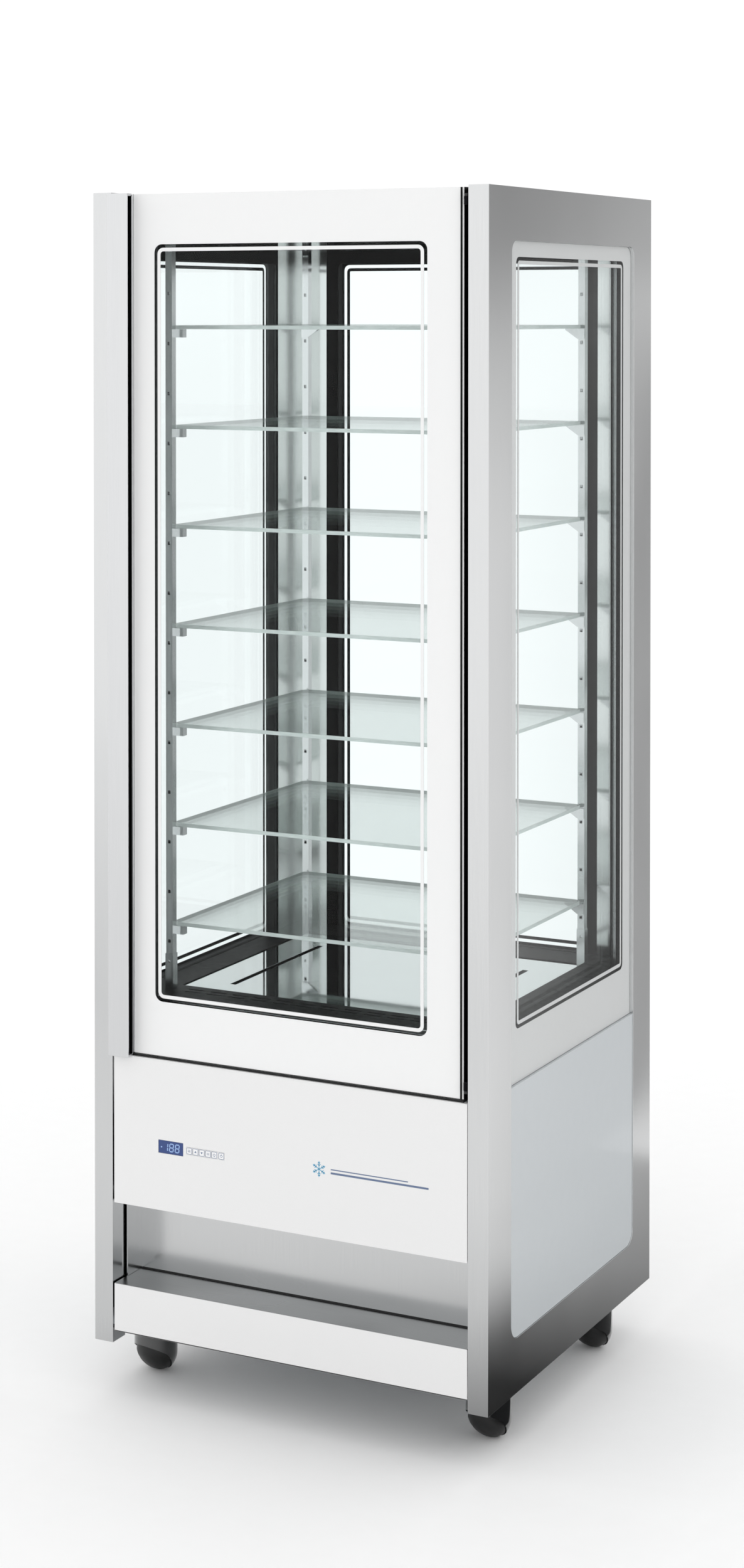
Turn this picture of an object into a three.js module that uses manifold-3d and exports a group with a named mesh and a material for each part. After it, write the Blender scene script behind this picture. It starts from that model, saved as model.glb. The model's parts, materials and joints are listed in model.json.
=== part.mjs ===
// A refrigerated display tower: four glazed sides, a hinged glass door, seven glass shelves,
// a machine compartment below and four hooded castors. Millimetres, +Z up.
// The cabinet is drawn with X from its left side, Y from its front face and Z from the lower
// edge of its side frames, and is moved to the part's frame at the end.
import * as THREE from "three";
import { mergeVertices } from "three/addons/utils/BufferGeometryUtils.js";
import Module from "manifold-3d";

const wasm = await Module();
wasm.setup();

// ---- Driving dimensions ----
const WIDTH = 682;
const DEPTH = 652;
const HEIGHT = 1810;
const FLOOR_GAP = 85; // the castors hold the cabinet this far off the floor
const FIT = 0.3; // gap between pieces that touch
const RUN = 0.1; // gap of a running fit

const WALL = 26; // thickness of a side or rear wall
const POST = { width: 33, depth: 36 }; // corner posts, seen from the front
const REBATE = 7; // depth of the recess that takes a pane flush
const OPENING = { margin: 83, low: 83, high: 1730, topRadius: 18, lowRadius: 25 };
const SEAM = 464; // height where glazing ends and the lower panels start
const WINDOW = { margin: 100, low: 533, high: 1718 }; // hole behind the outer pane
const MACHINE_TOP = 440; // top of the hole behind the lower panels

const DECK = { underside: 538, top: 541 };
const CEILING = { underside: 1732, top: 1735 };
const ROOF = { low: 1735.3, high: 1808.5, sheet: 2 };
const SHELF = { first: 650, pitch: 158.7, count: 7, glass: 6, side: 80, front: 104.6, chamfer: 9 };
const UPRIGHT = { side: 82, front: 98, size: 12, wall: 1.5, foot: 14, footHeight: 60 };
const BRACKET = { long: 22, deep: 17, plate: 3, block: 13, gap: 0.3 };
const LINER = { leg: 84, sheet: 2.7 };

const DOOR = { left: 36, right: 640, low: 463, high: 1807, pane: 5, back: 24 };
const DOOR_WINDOW = { left: 103, right: 586, low: 542, high: 1735 };
const GASKET = { inset: 6, width: 15, back: 35.6 };
const HANDLE = { left: 34, right: 71, low: 458, high: 1808, proud: 14, sheet: 2.2, cap: 4 };
const HINGE = { x: 644.6, y: 3, pin: 2.5, knuckle: 3.7, height: 12 };

const PANEL = { left: 36, right: 648, low: 222.5, high: 458, sheet: 2, flange: 28 };
const DISPLAY = { left: 117, low: 312.5, width: 45, height: 20.5, deep: 14 };
const KEY = { first: 168, pitch: 11.2, low: 317, width: 10.2, height: 11, proud: 0.3, deep: 3.2 };
const KEYS = ["set", "up", "down", "defrost", "lamp", "standby"];
const LAST_KEY_SHIFT = 1.4; // the last key stands a little apart
const RECESS = { low: 95, high: 222.5, back: 77, sheet: 2 };
const PLINTH = { low: 19, high: 95, sheet: 2 };
const BASE = { low: 8, sheet: 3, rim: 40, rimSheet: 2 };
const TUB = { low: 463, floor: 18, wall: 24, high: 537 };

const CASTOR = {
  x: 46, y: 122.5, heading: 169, tilt: 34.6, trail: 10,
  ball: 35, wheel: 33.4, lip: 1, depth: 25, stem: 5.5, collar: 12, axle: 4, axleLength: 12,
  rimClearance: 2.5,
};
const FAN = { x: 465, y: 200, z: 125, radius: 92, hub: 22, blades: 5 };
const COOL_FAN = { x: 545, y: 326, z: 506, radius: 52, hub: 16, blades: 7 };
const SWITCH = { x: 560, z: 150, width: 27, height: 13, deep: 14 };

// ---- Finishes ----
const finish = (colour, roughness, metalness) => () =>
  new THREE.MeshStandardMaterial({ color: colour, roughness, metalness });
const brushedSteel = finish(0xb9bcbe, 0.35, 1);
const polishedSteel = finish(0xd0d2d2, 0.15, 1);
const zincSheet = finish(0xa8abad, 0.5, 0.9);
const whiteGlass = finish(0xf2f3f4, 0.1, 0);
const greyGlass = finish(0xc8cacb, 0.15, 0);
const clearGlass = finish(0xe6f3ee, 0.05, 0);
const satinAluminium = finish(0xe4e5e6, 0.35, 0.9);
const whiteSheet = finish(0xececed, 0.3, 0);
const blackRubber = finish(0x0a0a0b, 0.6, 0);
const blackPlastic = finish(0x121314, 0.25, 0);
const navyLens = finish(0x22335c, 0.15, 0);
const paintedBlack = finish(0x16181a, 0.45, 0.3);
const copperFin = finish(0xb7b0a6, 0.4, 0.9);

// ---- Solids ----
const X = new THREE.Vector3(1, 0, 0);
const Y = new THREE.Vector3(0, 1, 0);
const Z = new THREE.Vector3(0, 0, 1);

// A three.js geometry as a solid that can be joined and cut.
function solid(geometry) {
  const bare = geometry.clone();
  bare.deleteAttribute("normal");
  bare.deleteAttribute("uv");
  const merged = mergeVertices(bare, 1e-3);
  return new wasm.Manifold(new wasm.Mesh({
    numProp: 3,
    vertProperties: merged.attributes.position.array,
    triVerts: new Uint32Array(merged.index.array),
  }));
}

// A solid as a three.js geometry.
function geometryOf(body) {
  const { vertProperties, triVerts } = body.getMesh();
  const geometry = new THREE.BufferGeometry();
  geometry.setAttribute("position", new THREE.BufferAttribute(new Float32Array(vertProperties), 3));
  geometry.setIndex(new THREE.BufferAttribute(new Uint32Array(triVerts), 1));
  geometry.computeVertexNormals();
  return geometry;
}

// A box between two corners, given in any order.
function box(x0, x1, y0, y1, z0, z1) {
  const geometry = new THREE.BoxGeometry(Math.abs(x1 - x0), Math.abs(y1 - y0), Math.abs(z1 - z0));
  return solid(geometry.translate((x0 + x1) / 2, (y0 + y1) / 2, (z0 + z1) / 2));
}

// A rod along an axis, centred at a point.
function rod(axis, centre, radius, length, sides = 24) {
  const geometry = new THREE.CylinderGeometry(radius, radius, length, sides);
  const turn = new THREE.Quaternion().setFromUnitVectors(Y, axis);
  return solid(geometry.applyQuaternion(turn).translate(...centre));
}

// A rectangle with its own radius at the lower and at the upper corners.
function outline(u0, u1, v0, v1, lowRadius = 0, highRadius = 0) {
  const shape = new THREE.Shape();
  shape.moveTo(u0 + lowRadius, v0);
  shape.lineTo(u1 - lowRadius, v0);
  if (lowRadius) shape.absarc(u1 - lowRadius, v0 + lowRadius, lowRadius, -Math.PI / 2, 0);
  shape.lineTo(u1, v1 - highRadius);
  if (highRadius) shape.absarc(u1 - highRadius, v1 - highRadius, highRadius, 0, Math.PI / 2);
  shape.lineTo(u0 + highRadius, v1);
  if (highRadius) shape.absarc(u0 + highRadius, v1 - highRadius, highRadius, Math.PI / 2, Math.PI);
  shape.lineTo(u0, v0 + lowRadius);
  if (lowRadius) shape.absarc(u0 + lowRadius, v0 + lowRadius, lowRadius, Math.PI, 1.5 * Math.PI);
  return shape;
}

// An outline in the plane across an axis, given thickness between two places on that axis.
// Across X it is read as (Y, Z), across Y as (X, Z) and across Z as (X, Y).
function plate(axis, shape, from, to) {
  const [low, high] = [Math.min(from, to), Math.max(from, to)];
  const options = { depth: high - low, bevelEnabled: false, curveSegments: 5 };
  const geometry = new THREE.ExtrudeGeometry(shape, options);
  if (axis === X) geometry.applyMatrix4(new THREE.Matrix4().makeBasis(Y, Z, X)).translate(low, 0, 0);
  if (axis === Y) {
    const standing = new THREE.Matrix4().makeBasis(X, Z, Y.clone().negate());
    geometry.applyMatrix4(standing).translate(0, high, 0);
  }
  if (axis === Z) geometry.translate(0, 0, low);
  return solid(geometry);
}

const cabinet = new THREE.Group();

// Adds a solid to a group as a named mesh.
function add(group, name, body, makeMaterial, place = [0, 0, 0]) {
  const mesh = new THREE.Mesh(geometryOf(body), makeMaterial());
  mesh.name = name;
  mesh.position.set(...place);
  group.add(mesh);
}

// ---- Walls, the same on the left (side 0) and the right (side 1) ----
const across = (side, x) => (side ? WIDTH - x : x);
const SIDES = ["left", "right"];

// The opening that takes the flush pane and panel, narrowed by a clearance.
function rebate(width, clearance, low = OPENING.low, high = OPENING.high) {
  const lowRadius = low === OPENING.low ? OPENING.lowRadius : 0;
  const highRadius = high === OPENING.high ? OPENING.topRadius : 0;
  return outline(OPENING.margin + clearance, width - OPENING.margin - clearance,
    low + clearance, high - clearance, lowRadius, highRadius);
}

function sideFrame(side) {
  const at = (x) => across(side, x);
  const through = [at(REBATE - 1), at(WALL + 1)];
  const inner = [WINDOW.margin, DEPTH - WINDOW.margin + 7];
  return box(at(0), at(WALL), 0, DEPTH, 0, HEIGHT)
    .add(box(at(0), at(POST.width), 0, POST.depth, 0, HEIGHT))
    .add(box(at(0), at(POST.width), DEPTH - WALL, DEPTH, 0, HEIGHT))
    .subtract(plate(X, rebate(DEPTH + 7, 0), at(-1), at(REBATE)))
    .subtract(box(...through, ...inner, WINDOW.low, WINDOW.high))
    .subtract(box(...through, ...inner, OPENING.low + 20, MACHINE_TOP));
}

// A sealed glazing unit: an outer pane that fills the rebate and a smaller inner block.
function sideGlass(side) {
  const at = (x) => across(side, x);
  const inner = [WINDOW.margin + 3, DEPTH - WINDOW.margin + 4];
  return plate(X, rebate(DEPTH + 7, 0.4, SEAM), at(1.2), at(REBATE - FIT))
    .add(box(at(REBATE - 1), at(WALL - 2), ...inner, WINDOW.low + 3, WINDOW.high - 3));
}

function sideLowerPanel(side) {
  const at = (x) => across(side, x);
  return plate(X, rebate(DEPTH + 7, 0.4, OPENING.low, SEAM), at(1.2), at(REBATE - FIT));
}

SIDES.forEach((name, side) => {
  add(cabinet, `${name}_side_frame`, sideFrame(side), brushedSteel);
  add(cabinet, `${name}_glass_unit`, sideGlass(side), greyGlass);
  add(cabinet, `${name}_lower_panel`, sideLowerPanel(side), whiteSheet);
});

function rearFrame() {
  const inner = [WINDOW.margin, WIDTH - WINDOW.margin];
  return box(POST.width + FIT, WIDTH - POST.width - FIT, DEPTH - WALL, DEPTH, 0, HEIGHT)
    .subtract(plate(Y, rebate(WIDTH, 0), DEPTH - REBATE, DEPTH + 1))
    .subtract(box(...inner, DEPTH - WALL - 1, DEPTH, WINDOW.low, WINDOW.high))
    .subtract(box(...inner, DEPTH - WALL - 1, DEPTH, OPENING.low + 20, MACHINE_TOP));
}

function rearGlass() {
  const inner = [WINDOW.margin + 3, WIDTH - WINDOW.margin - 3];
  const front = DEPTH - WALL + 2;
  return plate(Y, rebate(WIDTH, 0.4, SEAM), DEPTH - REBATE + FIT, DEPTH - 1.2)
    .add(box(...inner, front, DEPTH - REBATE + 1, WINDOW.low + 3, WINDOW.high - 3));
}

// The rear grille: two columns of louvre slots and a cut-out for the switch.
function rearGrille() {
  const slots = { rows: 11, pitch: 22, first: 185, height: 9, length: 190 };
  const columns = [125, WIDTH - 125 - slots.length];
  let grille = plate(Y, rebate(WIDTH, 0.4, OPENING.low, SEAM), DEPTH - REBATE + FIT, DEPTH - 1.2);
  for (let row = 0; row < slots.rows; row++) {
    const low = slots.first + row * slots.pitch;
    for (const left of columns) {
      const slot = outline(left, left + slots.length, low, low + slots.height);
      grille = grille.subtract(plate(Y, slot, DEPTH - REBATE, DEPTH));
    }
  }
  const hole = outline(SWITCH.x - SWITCH.width / 2 - 1.2, SWITCH.x + SWITCH.width / 2 + 1.2,
    SWITCH.z - SWITCH.height / 2 - 1.2, SWITCH.z + SWITCH.height / 2 + 1.2);
  return grille.subtract(plate(Y, hole, DEPTH - REBATE, DEPTH));
}

add(cabinet, "rear_frame", rearFrame(), brushedSteel);
add(cabinet, "rear_glass_unit", rearGlass(), greyGlass);
add(cabinet, "rear_grille", rearGrille(), zincSheet);

// ---- Roof, ceiling, deck, insulated floor and base ----
const INSIDE = [WALL + FIT, WIDTH - WALL - FIT, POST.depth + FIT, DEPTH - WALL - FIT];

// A tray with walls and an open top.
function tray(x0, x1, y0, y1, low, high, floor, wall) {
  return box(x0, x1, y0, y1, low, high)
    .subtract(box(x0 + wall, x1 - wall, y0 + wall, y1 - wall, low + floor, high + 1));
}

// The roof: a pan of folded sheet, open below, where the ceiling panel closes it.
function roofPan() {
  const [x0, x1, y0, y1] = INSIDE;
  const sheet = ROOF.sheet;
  return box(...INSIDE, ROOF.low, ROOF.high)
    .subtract(box(x0 + sheet, x1 - sheet, y0 + sheet, y1 - sheet, ROOF.low - 1, ROOF.high - sheet));
}

function deck() {
  const holes = { row: [150, 532], width: 10, length: 300, from: 176 };
  let sheet = box(...INSIDE, DECK.underside, DECK.top);
  for (const x of holes.row) {
    const slot = outline(x - holes.width / 2, x + holes.width / 2, holes.from, holes.from + holes.length);
    sheet = sheet.subtract(plate(Z, slot, DECK.underside - 1, DECK.top + 1));
  }
  return sheet;
}

function castorPlaces() {
  const xs = [CASTOR.x, WIDTH - CASTOR.x];
  const ys = [CASTOR.y, DEPTH - CASTOR.y];
  return [
    ["front_left", xs[0], ys[0]], ["front_right", xs[1], ys[0]],
    ["rear_left", xs[0], ys[1]], ["rear_right", xs[1], ys[1]],
  ];
}

function basePan() {
  let pan = tray(...INSIDE, BASE.low, BASE.rim, BASE.sheet, BASE.rimSheet);
  for (const [, x, y] of castorPlaces())
    pan = pan.subtract(rod(Z, [x, y, BASE.low], CASTOR.stem + 2 * RUN, 20));
  return pan;
}

add(cabinet, "top_panel", roofPan(), brushedSteel);
add(cabinet, "ceiling_panel", box(...INSIDE, CEILING.underside, CEILING.top), polishedSteel);
add(cabinet, "deck", deck(), polishedSteel);
add(cabinet, "insulated_floor", tray(...INSIDE, TUB.low, TUB.high, TUB.floor, TUB.wall), blackPlastic);
add(cabinet, "base_pan", basePan(), zincSheet);

// ---- Corner liners: angles that cover the inner corners between deck and ceiling ----
function cornerLiner(side, rear) {
  const at = (x) => across(side, x);
  const from = (y) => (rear ? DEPTH - WALL + POST.depth - y : y);
  const [x0, y0] = [WALL + FIT, POST.depth + FIT];
  const heights = [DECK.top + FIT, CEILING.underside - FIT];
  const sideLeg = rear ? 79 : 69;
  return box(at(x0), at(LINER.leg), from(y0), from(y0 + LINER.sheet), ...heights)
    .add(box(at(x0), at(x0 + LINER.sheet), from(y0), from(y0 + sideLeg), ...heights));
}

// ---- Uprights: square tubes with a bracket under each shelf corner ----
// Drawn with the tube's middle at the origin, brackets reaching in along +X and back along +Y.
function upright(side, rear) {
  const half = UPRIGHT.size / 2;
  const bore = half - UPRIGHT.wall;
  const [low, high] = [DECK.top + FIT, CEILING.underside - FIT];
  const inward = side ? -1 : 1;
  const middle = rear ? -1 : 1;
  const foot = UPRIGHT.foot / 2;
  let body = box(-half, half, -half, half, low, high)
    .add(box(-foot, foot, -foot, foot, low, low + UPRIGHT.footHeight))
    .subtract(box(-bore, bore, -bore, bore, low - 1, high + 1));
  for (let i = 0; i < SHELF.count; i++) {
    const top = SHELF.first + i * SHELF.pitch - SHELF.glass - BRACKET.gap;
    body = body.add(rear ? gusset(inward, middle, top, half) : block(inward, middle, top, half));
  }
  return body;
}

// A triangular plate under a rear shelf corner.
function gusset(inward, middle, top, half) {
  const shape = new THREE.Shape();
  const outer = half + BRACKET.long;
  const points = [[-half, top], [-half, top - BRACKET.deep], [half, top - BRACKET.deep],
    [outer, top - 2], [outer, top]];
  shape.setFromPoints(points.map(([u, v]) => new THREE.Vector2(inward * u, v)));
  return plate(Y, shape, middle * (half - 0.5), middle * (half + BRACKET.plate));
}

// A small block under a front shelf corner.
function block(inward, middle, top, half) {
  return box(-inward * half, inward * (half + BRACKET.block),
    middle * (half - 0.5), middle * (half + 11), top - BRACKET.block, top);
}

for (const rear of [0, 1])
  SIDES.forEach((name, side) => {
    const place = `${rear ? "rear" : "front"}_${name}`;
    add(cabinet, `${place}_corner_liner`, cornerLiner(side, rear), polishedSteel);
    const y = rear ? DEPTH - UPRIGHT.front : UPRIGHT.front;
    add(cabinet, `${place}_upright`, upright(side, rear), brushedSteel, [across(side, UPRIGHT.side), y, 0]);
  });

// ---- Shelves: glass with clipped corners ----
function shelf() {
  const [left, right] = [SHELF.side, WIDTH - SHELF.side];
  const [front, rear] = [SHELF.front, DEPTH - SHELF.front];
  const cut = SHELF.chamfer;
  const corners = [
    [left + cut, front], [right - cut, front], [right, front + cut], [right, rear - cut],
    [right - cut, rear], [left + cut, rear], [left, rear - cut], [left, front + cut],
  ];
  const shape = new THREE.Shape().setFromPoints(corners.map(([x, y]) => new THREE.Vector2(x, y)));
  return plate(Z, shape, -SHELF.glass, 0);
}

for (let i = 0; i < SHELF.count; i++)
  add(cabinet, `shelf_${i + 1}`, shelf(), clearGlass, [0, 0, SHELF.first + i * SHELF.pitch]);

// ---- Front: control panel, display, keys, recess and plinth ----
const keyLeft = (i) => KEY.first + i * KEY.pitch + (i === KEYS.length - 1 ? LAST_KEY_SHIFT : 0);

function controlPanel() {
  let panel = box(PANEL.left, PANEL.right, 0, PANEL.sheet, PANEL.low, PANEL.high)
    .add(box(PANEL.left, PANEL.right, 0, PANEL.flange, PANEL.high - PANEL.sheet, PANEL.high))
    .subtract(box(DISPLAY.left, DISPLAY.left + DISPLAY.width, -1, PANEL.sheet + 1,
      DISPLAY.low, DISPLAY.low + DISPLAY.height));
  KEYS.forEach((_, i) => {
    const left = keyLeft(i) - FIT;
    panel = panel.subtract(box(left, left + KEY.width + 2 * FIT, -1, PANEL.sheet + 1,
      KEY.low - FIT, KEY.low + KEY.height + FIT));
  });
  return panel;
}

function recessLiner() {
  const left = POST.width + 3 + FIT;
  const right = WIDTH - left;
  const back = RECESS.back + FIT;
  const slots = { count: 14, width: 22, pitch: 40, from: 20, to: 60 };
  let liner = box(left, right, back, back + RECESS.sheet, RECESS.low + FIT, RECESS.high)
    .add(box(left, left + RECESS.sheet, POST.depth + FIT, back + 1, RECESS.low + FIT, RECESS.high))
    .add(box(right - RECESS.sheet, right, POST.depth + FIT, back + 1, RECESS.low + FIT, RECESS.high))
    .add(box(left, right, PANEL.sheet + FIT, back + RECESS.sheet, RECESS.high, RECESS.high + RECESS.sheet));
  for (let i = 0; i < slots.count; i++) {
    const x = WIDTH / 2 + (i - (slots.count - 1) / 2) * slots.pitch;
    liner = liner.subtract(box(x - slots.width / 2, x + slots.width / 2, slots.from, slots.to,
      RECESS.high - 1, RECESS.high + RECESS.sheet + 1));
  }
  return liner;
}

function plinth() {
  const { low, high, sheet } = PLINTH;
  return box(PANEL.left, PANEL.right, 0, sheet, low, high)
    .add(box(PANEL.left, PANEL.right, 0, RECESS.back, high - sheet, high))
    .add(box(PANEL.left, PANEL.right, 0, 20, low, low + sheet));
}

function displayModule() {
  const [width, height] = [DISPLAY.width - 2 * FIT, DISPLAY.height - 2 * FIT];
  return box(0, width, 0.2, DISPLAY.deep, 0, height);
}

function keyCap() {
  return box(0, KEY.width, -KEY.proud, KEY.deep, 0, KEY.height);
}

add(cabinet, "control_panel", controlPanel(), whiteSheet);
add(cabinet, "recess_liner", recessLiner(), brushedSteel);
add(cabinet, "plinth", plinth(), whiteSheet);
add(cabinet, "display", displayModule(), navyLens, [DISPLAY.left + FIT, 0, DISPLAY.low + FIT]);
KEYS.forEach((name, i) => add(cabinet, `${name}_key`, keyCap(), whiteSheet, [keyLeft(i), 0, KEY.low]));

// ---- Door: drawn about its hinge line ----
const door = new THREE.Group();
door.position.set(HINGE.x, HINGE.y, 0);
cabinet.add(door);
const fromHinge = (x) => x - HINGE.x;
const doorBox = (x0, x1, y0, y1, z0, z1) =>
  box(fromHinge(x0), fromHinge(x1), y0 - HINGE.y, y1 - HINGE.y, z0, z1);

function doorGlass() {
  const w = DOOR_WINDOW;
  return doorBox(HANDLE.right + FIT, DOOR.right, 0, DOOR.pane, DOOR.low, DOOR.high)
    .add(doorBox(w.left + 1, w.right - 1, DOOR.pane - 1, DOOR.back - 1, w.low + 1, w.high - 1));
}

// The height at which each rolled hinge leaf of the door starts.
const LEAVES = [DOOR.low + 14, DOOR.high - 14 - HINGE.height];

function doorFrame() {
  const w = DOOR_WINDOW;
  const face = DOOR.pane + FIT;
  let frame = doorBox(DOOR.left, DOOR.right, face, DOOR.back, DOOR.low, DOOR.high)
    .subtract(doorBox(w.left, w.right, 0, DOOR.back + 5, w.low, w.high));
  for (const low of LEAVES) {
    const middle = low + HINGE.height / 2;
    const leafFace = HINGE.y + HINGE.knuckle;
    frame = frame.add(doorBox(DOOR.right - 3, HINGE.x, face, leafFace, low, low + HINGE.height))
      .add(rod(Z, [0, 0, middle], HINGE.knuckle, HINGE.height))
      .subtract(rod(Z, [0, 0, middle], HINGE.pin + RUN, HINGE.height + 2));
  }
  return frame;
}

function gasket() {
  const edge = (inset) => [DOOR.left + inset, DOOR.right - inset, DOOR.back + FIT, GASKET.back,
    DOOR.low + inset, DOOR.high - inset];
  const hole = edge(GASKET.inset + GASKET.width);
  hole[2] -= 1;
  hole[3] += 1;
  return doorBox(...edge(GASKET.inset)).subtract(doorBox(...hole));
}

// A full-height pull: a profile with a finger groove on its inner side, closed by end caps.
function handle() {
  const { left, right, low, high, proud, sheet, cap } = HANDLE;
  const groove = doorBox(left + 14, right + 1, -proud + sheet, -0.6, low + cap, high - cap);
  return doorBox(left, right, -proud, 0, low, high)
    .add(doorBox(DOOR.left, right, -1, DOOR.pane, DOOR.low, DOOR.high))
    .subtract(groove);
}

add(door, "door_glass_unit", doorGlass(), whiteGlass);
add(door, "door_frame", doorFrame(), satinAluminium);
add(door, "door_gasket", gasket(), blackRubber);
add(door, "door_handle", handle(), satinAluminium);

// A hinge pin on an arm that reaches forward from the cabinet past the door's edge.
function hingePin(leaf, armAbove) {
  const arm = armAbove ? leaf + HINGE.height + FIT : leaf - FIT - 4;
  const pin = [leaf - FIT - (armAbove ? 0 : 4), leaf + HINGE.height + FIT + (armAbove ? 4 : 0)];
  return rod(Z, [HINGE.x, HINGE.y, (pin[0] + pin[1]) / 2], HINGE.pin, pin[1] - pin[0])
    .add(rod(Z, [HINGE.x, HINGE.y, arm + 2], 3.2, 4))
    .add(box(HINGE.x - 3.2, HINGE.x + 3.2, HINGE.y, POST.depth, arm, arm + 4));
}

add(cabinet, "lower_hinge_pin", hingePin(LEAVES[0], false), paintedBlack);
add(cabinet, "upper_hinge_pin", hingePin(LEAVES[1], true), brushedSteel);

// ---- Machine compartment ----
// A fan wheel along +Z: a hub with flat blades set at a pitch.
function fanWheel({ radius, hub, blades }, depth, pitch) {
  let wheel = rod(Z, [0, 0, 0], hub, depth, 20);
  for (let i = 0; i < blades; i++) {
    const blade = new THREE.BoxGeometry(radius - hub / 2, radius * 0.5, 2);
    blade.rotateX(pitch).translate((radius + hub / 2) / 2, 0, 0).rotateZ((2 * Math.PI * i) / blades);
    wheel = wheel.add(solid(blade));
  }
  return wheel;
}

// Finned coil with its shroud ring and the arms that hold the motor behind the fan.
function condenser() {
  const [x, y, z] = [FAN.x, FAN.y, FAN.z];
  const half = FAN.radius + 16;
  const ring = box(x - half, x + half, y - 32, y + 32, z - half, z + half)
    .subtract(rod(Y, [x, y, z], FAN.radius + 6, 70, 32));
  const motor = rod(Y, [x, y + 45, z], 30, 40, 20);
  const arms = box(x - half, x + half, y + 30, y + 36, z - 8, z + 8);
  const coil = box(x - half, x + half, y - 75, y - 31, z - half, z + half);
  return ring.add(coil).add(motor).add(arms);
}

function compressor() {
  const profile = [[0, 0], [62, 0], [70, 12], [74, 50], [74, 110], [66, 145], [40, 165], [0, 170]];
  const dome = new THREE.LatheGeometry(profile.map(([r, h]) => new THREE.Vector2(r, h)), 32);
  const feet = box(-85, 85, -70, 70, -8, 1);
  const terminals = box(60, 92, -22, 22, 60, 105);
  return solid(dome.rotateX(Math.PI / 2)).add(feet).add(terminals);
}

function evaporator() {
  return box(120, 460, 215, 437, TUB.low + TUB.floor + 6, TUB.high - 8);
}

const machineFloor = BASE.low + BASE.sheet + FIT;
add(cabinet, "compressor", compressor(), paintedBlack, [190, 500, machineFloor + 8]);
add(cabinet, "condenser", condenser(), copperFin);
add(cabinet, "evaporator", evaporator(), copperFin);
add(cabinet, "condensate_tray", tray(120, 260, 130, 330, machineFloor, 62, 2, 2), blackPlastic);

const condenserFan = new THREE.Group();
condenserFan.position.set(FAN.x, FAN.y, FAN.z);
condenserFan.rotation.x = Math.PI / 2;
add(condenserFan, "condenser_fan", fanWheel(FAN, 26, 0.45), blackPlastic);
cabinet.add(condenserFan);
add(cabinet, "evaporator_fan", fanWheel(COOL_FAN, 18, 0.4), blackPlastic,
  [COOL_FAN.x, COOL_FAN.y, COOL_FAN.z]);

// Rocker with two sloping faces, in the rear grille.
function rocker() {
  const shape = new THREE.Shape();
  const { height, deep } = SWITCH;
  const points = [[-height / 2, 0], [0, -1.6], [height / 2, 0], [height / 2, -deep + 4],
    [0, -deep], [-height / 2, -deep + 4]];
  shape.setFromPoints(points.map(([v, out]) => new THREE.Vector2(-out, v)).reverse());
  return plate(X, shape, -SWITCH.width / 2, SWITCH.width / 2);
}

const power = new THREE.Group();
power.position.set(SWITCH.x, DEPTH - 3, SWITCH.z);
power.rotation.z = Math.PI;
add(power, "power_rocker", rocker(), blackPlastic);
cabinet.add(power);

// ---- Castors: a hood that swivels on its stem and a domed wheel on a tilted axle ----
const tilt = THREE.MathUtils.degToRad(CASTOR.tilt);
const wheelAxis = new THREE.Vector3(0, Math.cos(tilt), -Math.sin(tilt));
const wheelTurn = new THREE.Quaternion().setFromUnitVectors(Z, wheelAxis);

// How far the dome reaches below the middle of its rim.
const reach = CASTOR.lip * Math.sin(tilt)
  + Math.hypot(CASTOR.wheel * Math.cos(tilt), CASTOR.depth * Math.sin(tilt));
const ballHeight = reach - FLOOR_GAP;

// The domed wheel about its own axis, rim at the origin, dome towards +Z and axle towards -Z.
function castorWheel() {
  const rows = 7;
  const profile = [[0, -CASTOR.axleLength], [CASTOR.axle, -CASTOR.axleLength], [CASTOR.axle, 0],
    [CASTOR.wheel - 1.5, 0], [CASTOR.wheel, CASTOR.lip]];
  for (let row = 1; row <= rows; row++) {
    const angle = (row / rows) * (Math.PI / 2);
    const radius = row === rows ? 0 : CASTOR.wheel * Math.cos(angle);
    profile.push([radius, CASTOR.lip + CASTOR.depth * Math.sin(angle)]);
  }
  const lathe = new THREE.LatheGeometry(profile.map(([r, h]) => new THREE.Vector2(r, h)), 28);
  return solid(lathe.rotateX(Math.PI / 2));
}

// The hood, with the middle of the wheel's rim at the origin.
function castorHood() {
  const top = -3 - ballHeight;
  const ball = solid(new THREE.SphereGeometry(CASTOR.ball, 28, 14).rotateX(Math.PI / 2));
  const stemX = -CASTOR.trail;
  const mouthLength = 60;
  const mouth = new THREE.CylinderGeometry(CASTOR.wheel + 1, CASTOR.wheel + 1, mouthLength, 28);
  const bore = new THREE.CylinderGeometry(CASTOR.axle + 0.2, CASTOR.axle + 0.2, CASTOR.axleLength + 2, 16);
  mouth.rotateX(Math.PI / 2).translate(0, 0, mouthLength / 2 - 0.6).applyQuaternion(wheelTurn);
  bore.rotateX(Math.PI / 2).translate(0, 0, -CASTOR.axleLength / 2).applyQuaternion(wheelTurn);
  const underRim = box(-50, 50, -50, 50, -50, CASTOR.rimClearance - reach);
  return rod(Z, [0, 0, top / 2], CASTOR.ball, top, 28)
    .add(ball)
    .add(rod(Z, [stemX, 0, top + 4], CASTOR.collar, 9))
    .add(rod(Z, [stemX, 0, top + 11], CASTOR.stem, 12))
    .subtract(solid(mouth))
    .subtract(solid(bore))
    .subtract(underRim);
}

for (const [name, x, y] of castorPlaces()) {
  const castor = new THREE.Group();
  castor.position.set(x, y, ballHeight);
  castor.rotation.z = THREE.MathUtils.degToRad(CASTOR.heading);
  const wheel = new THREE.Group();
  wheel.position.set(CASTOR.trail, 0, 0);
  wheel.quaternion.copy(wheelTurn);
  add(castor, `${name}_castor_hood`, castorHood(), blackPlastic, [CASTOR.trail, 0, 0]);
  add(wheel, `${name}_castor_wheel`, castorWheel(), blackRubber);
  castor.add(wheel);
  cabinet.add(castor);
}

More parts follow.
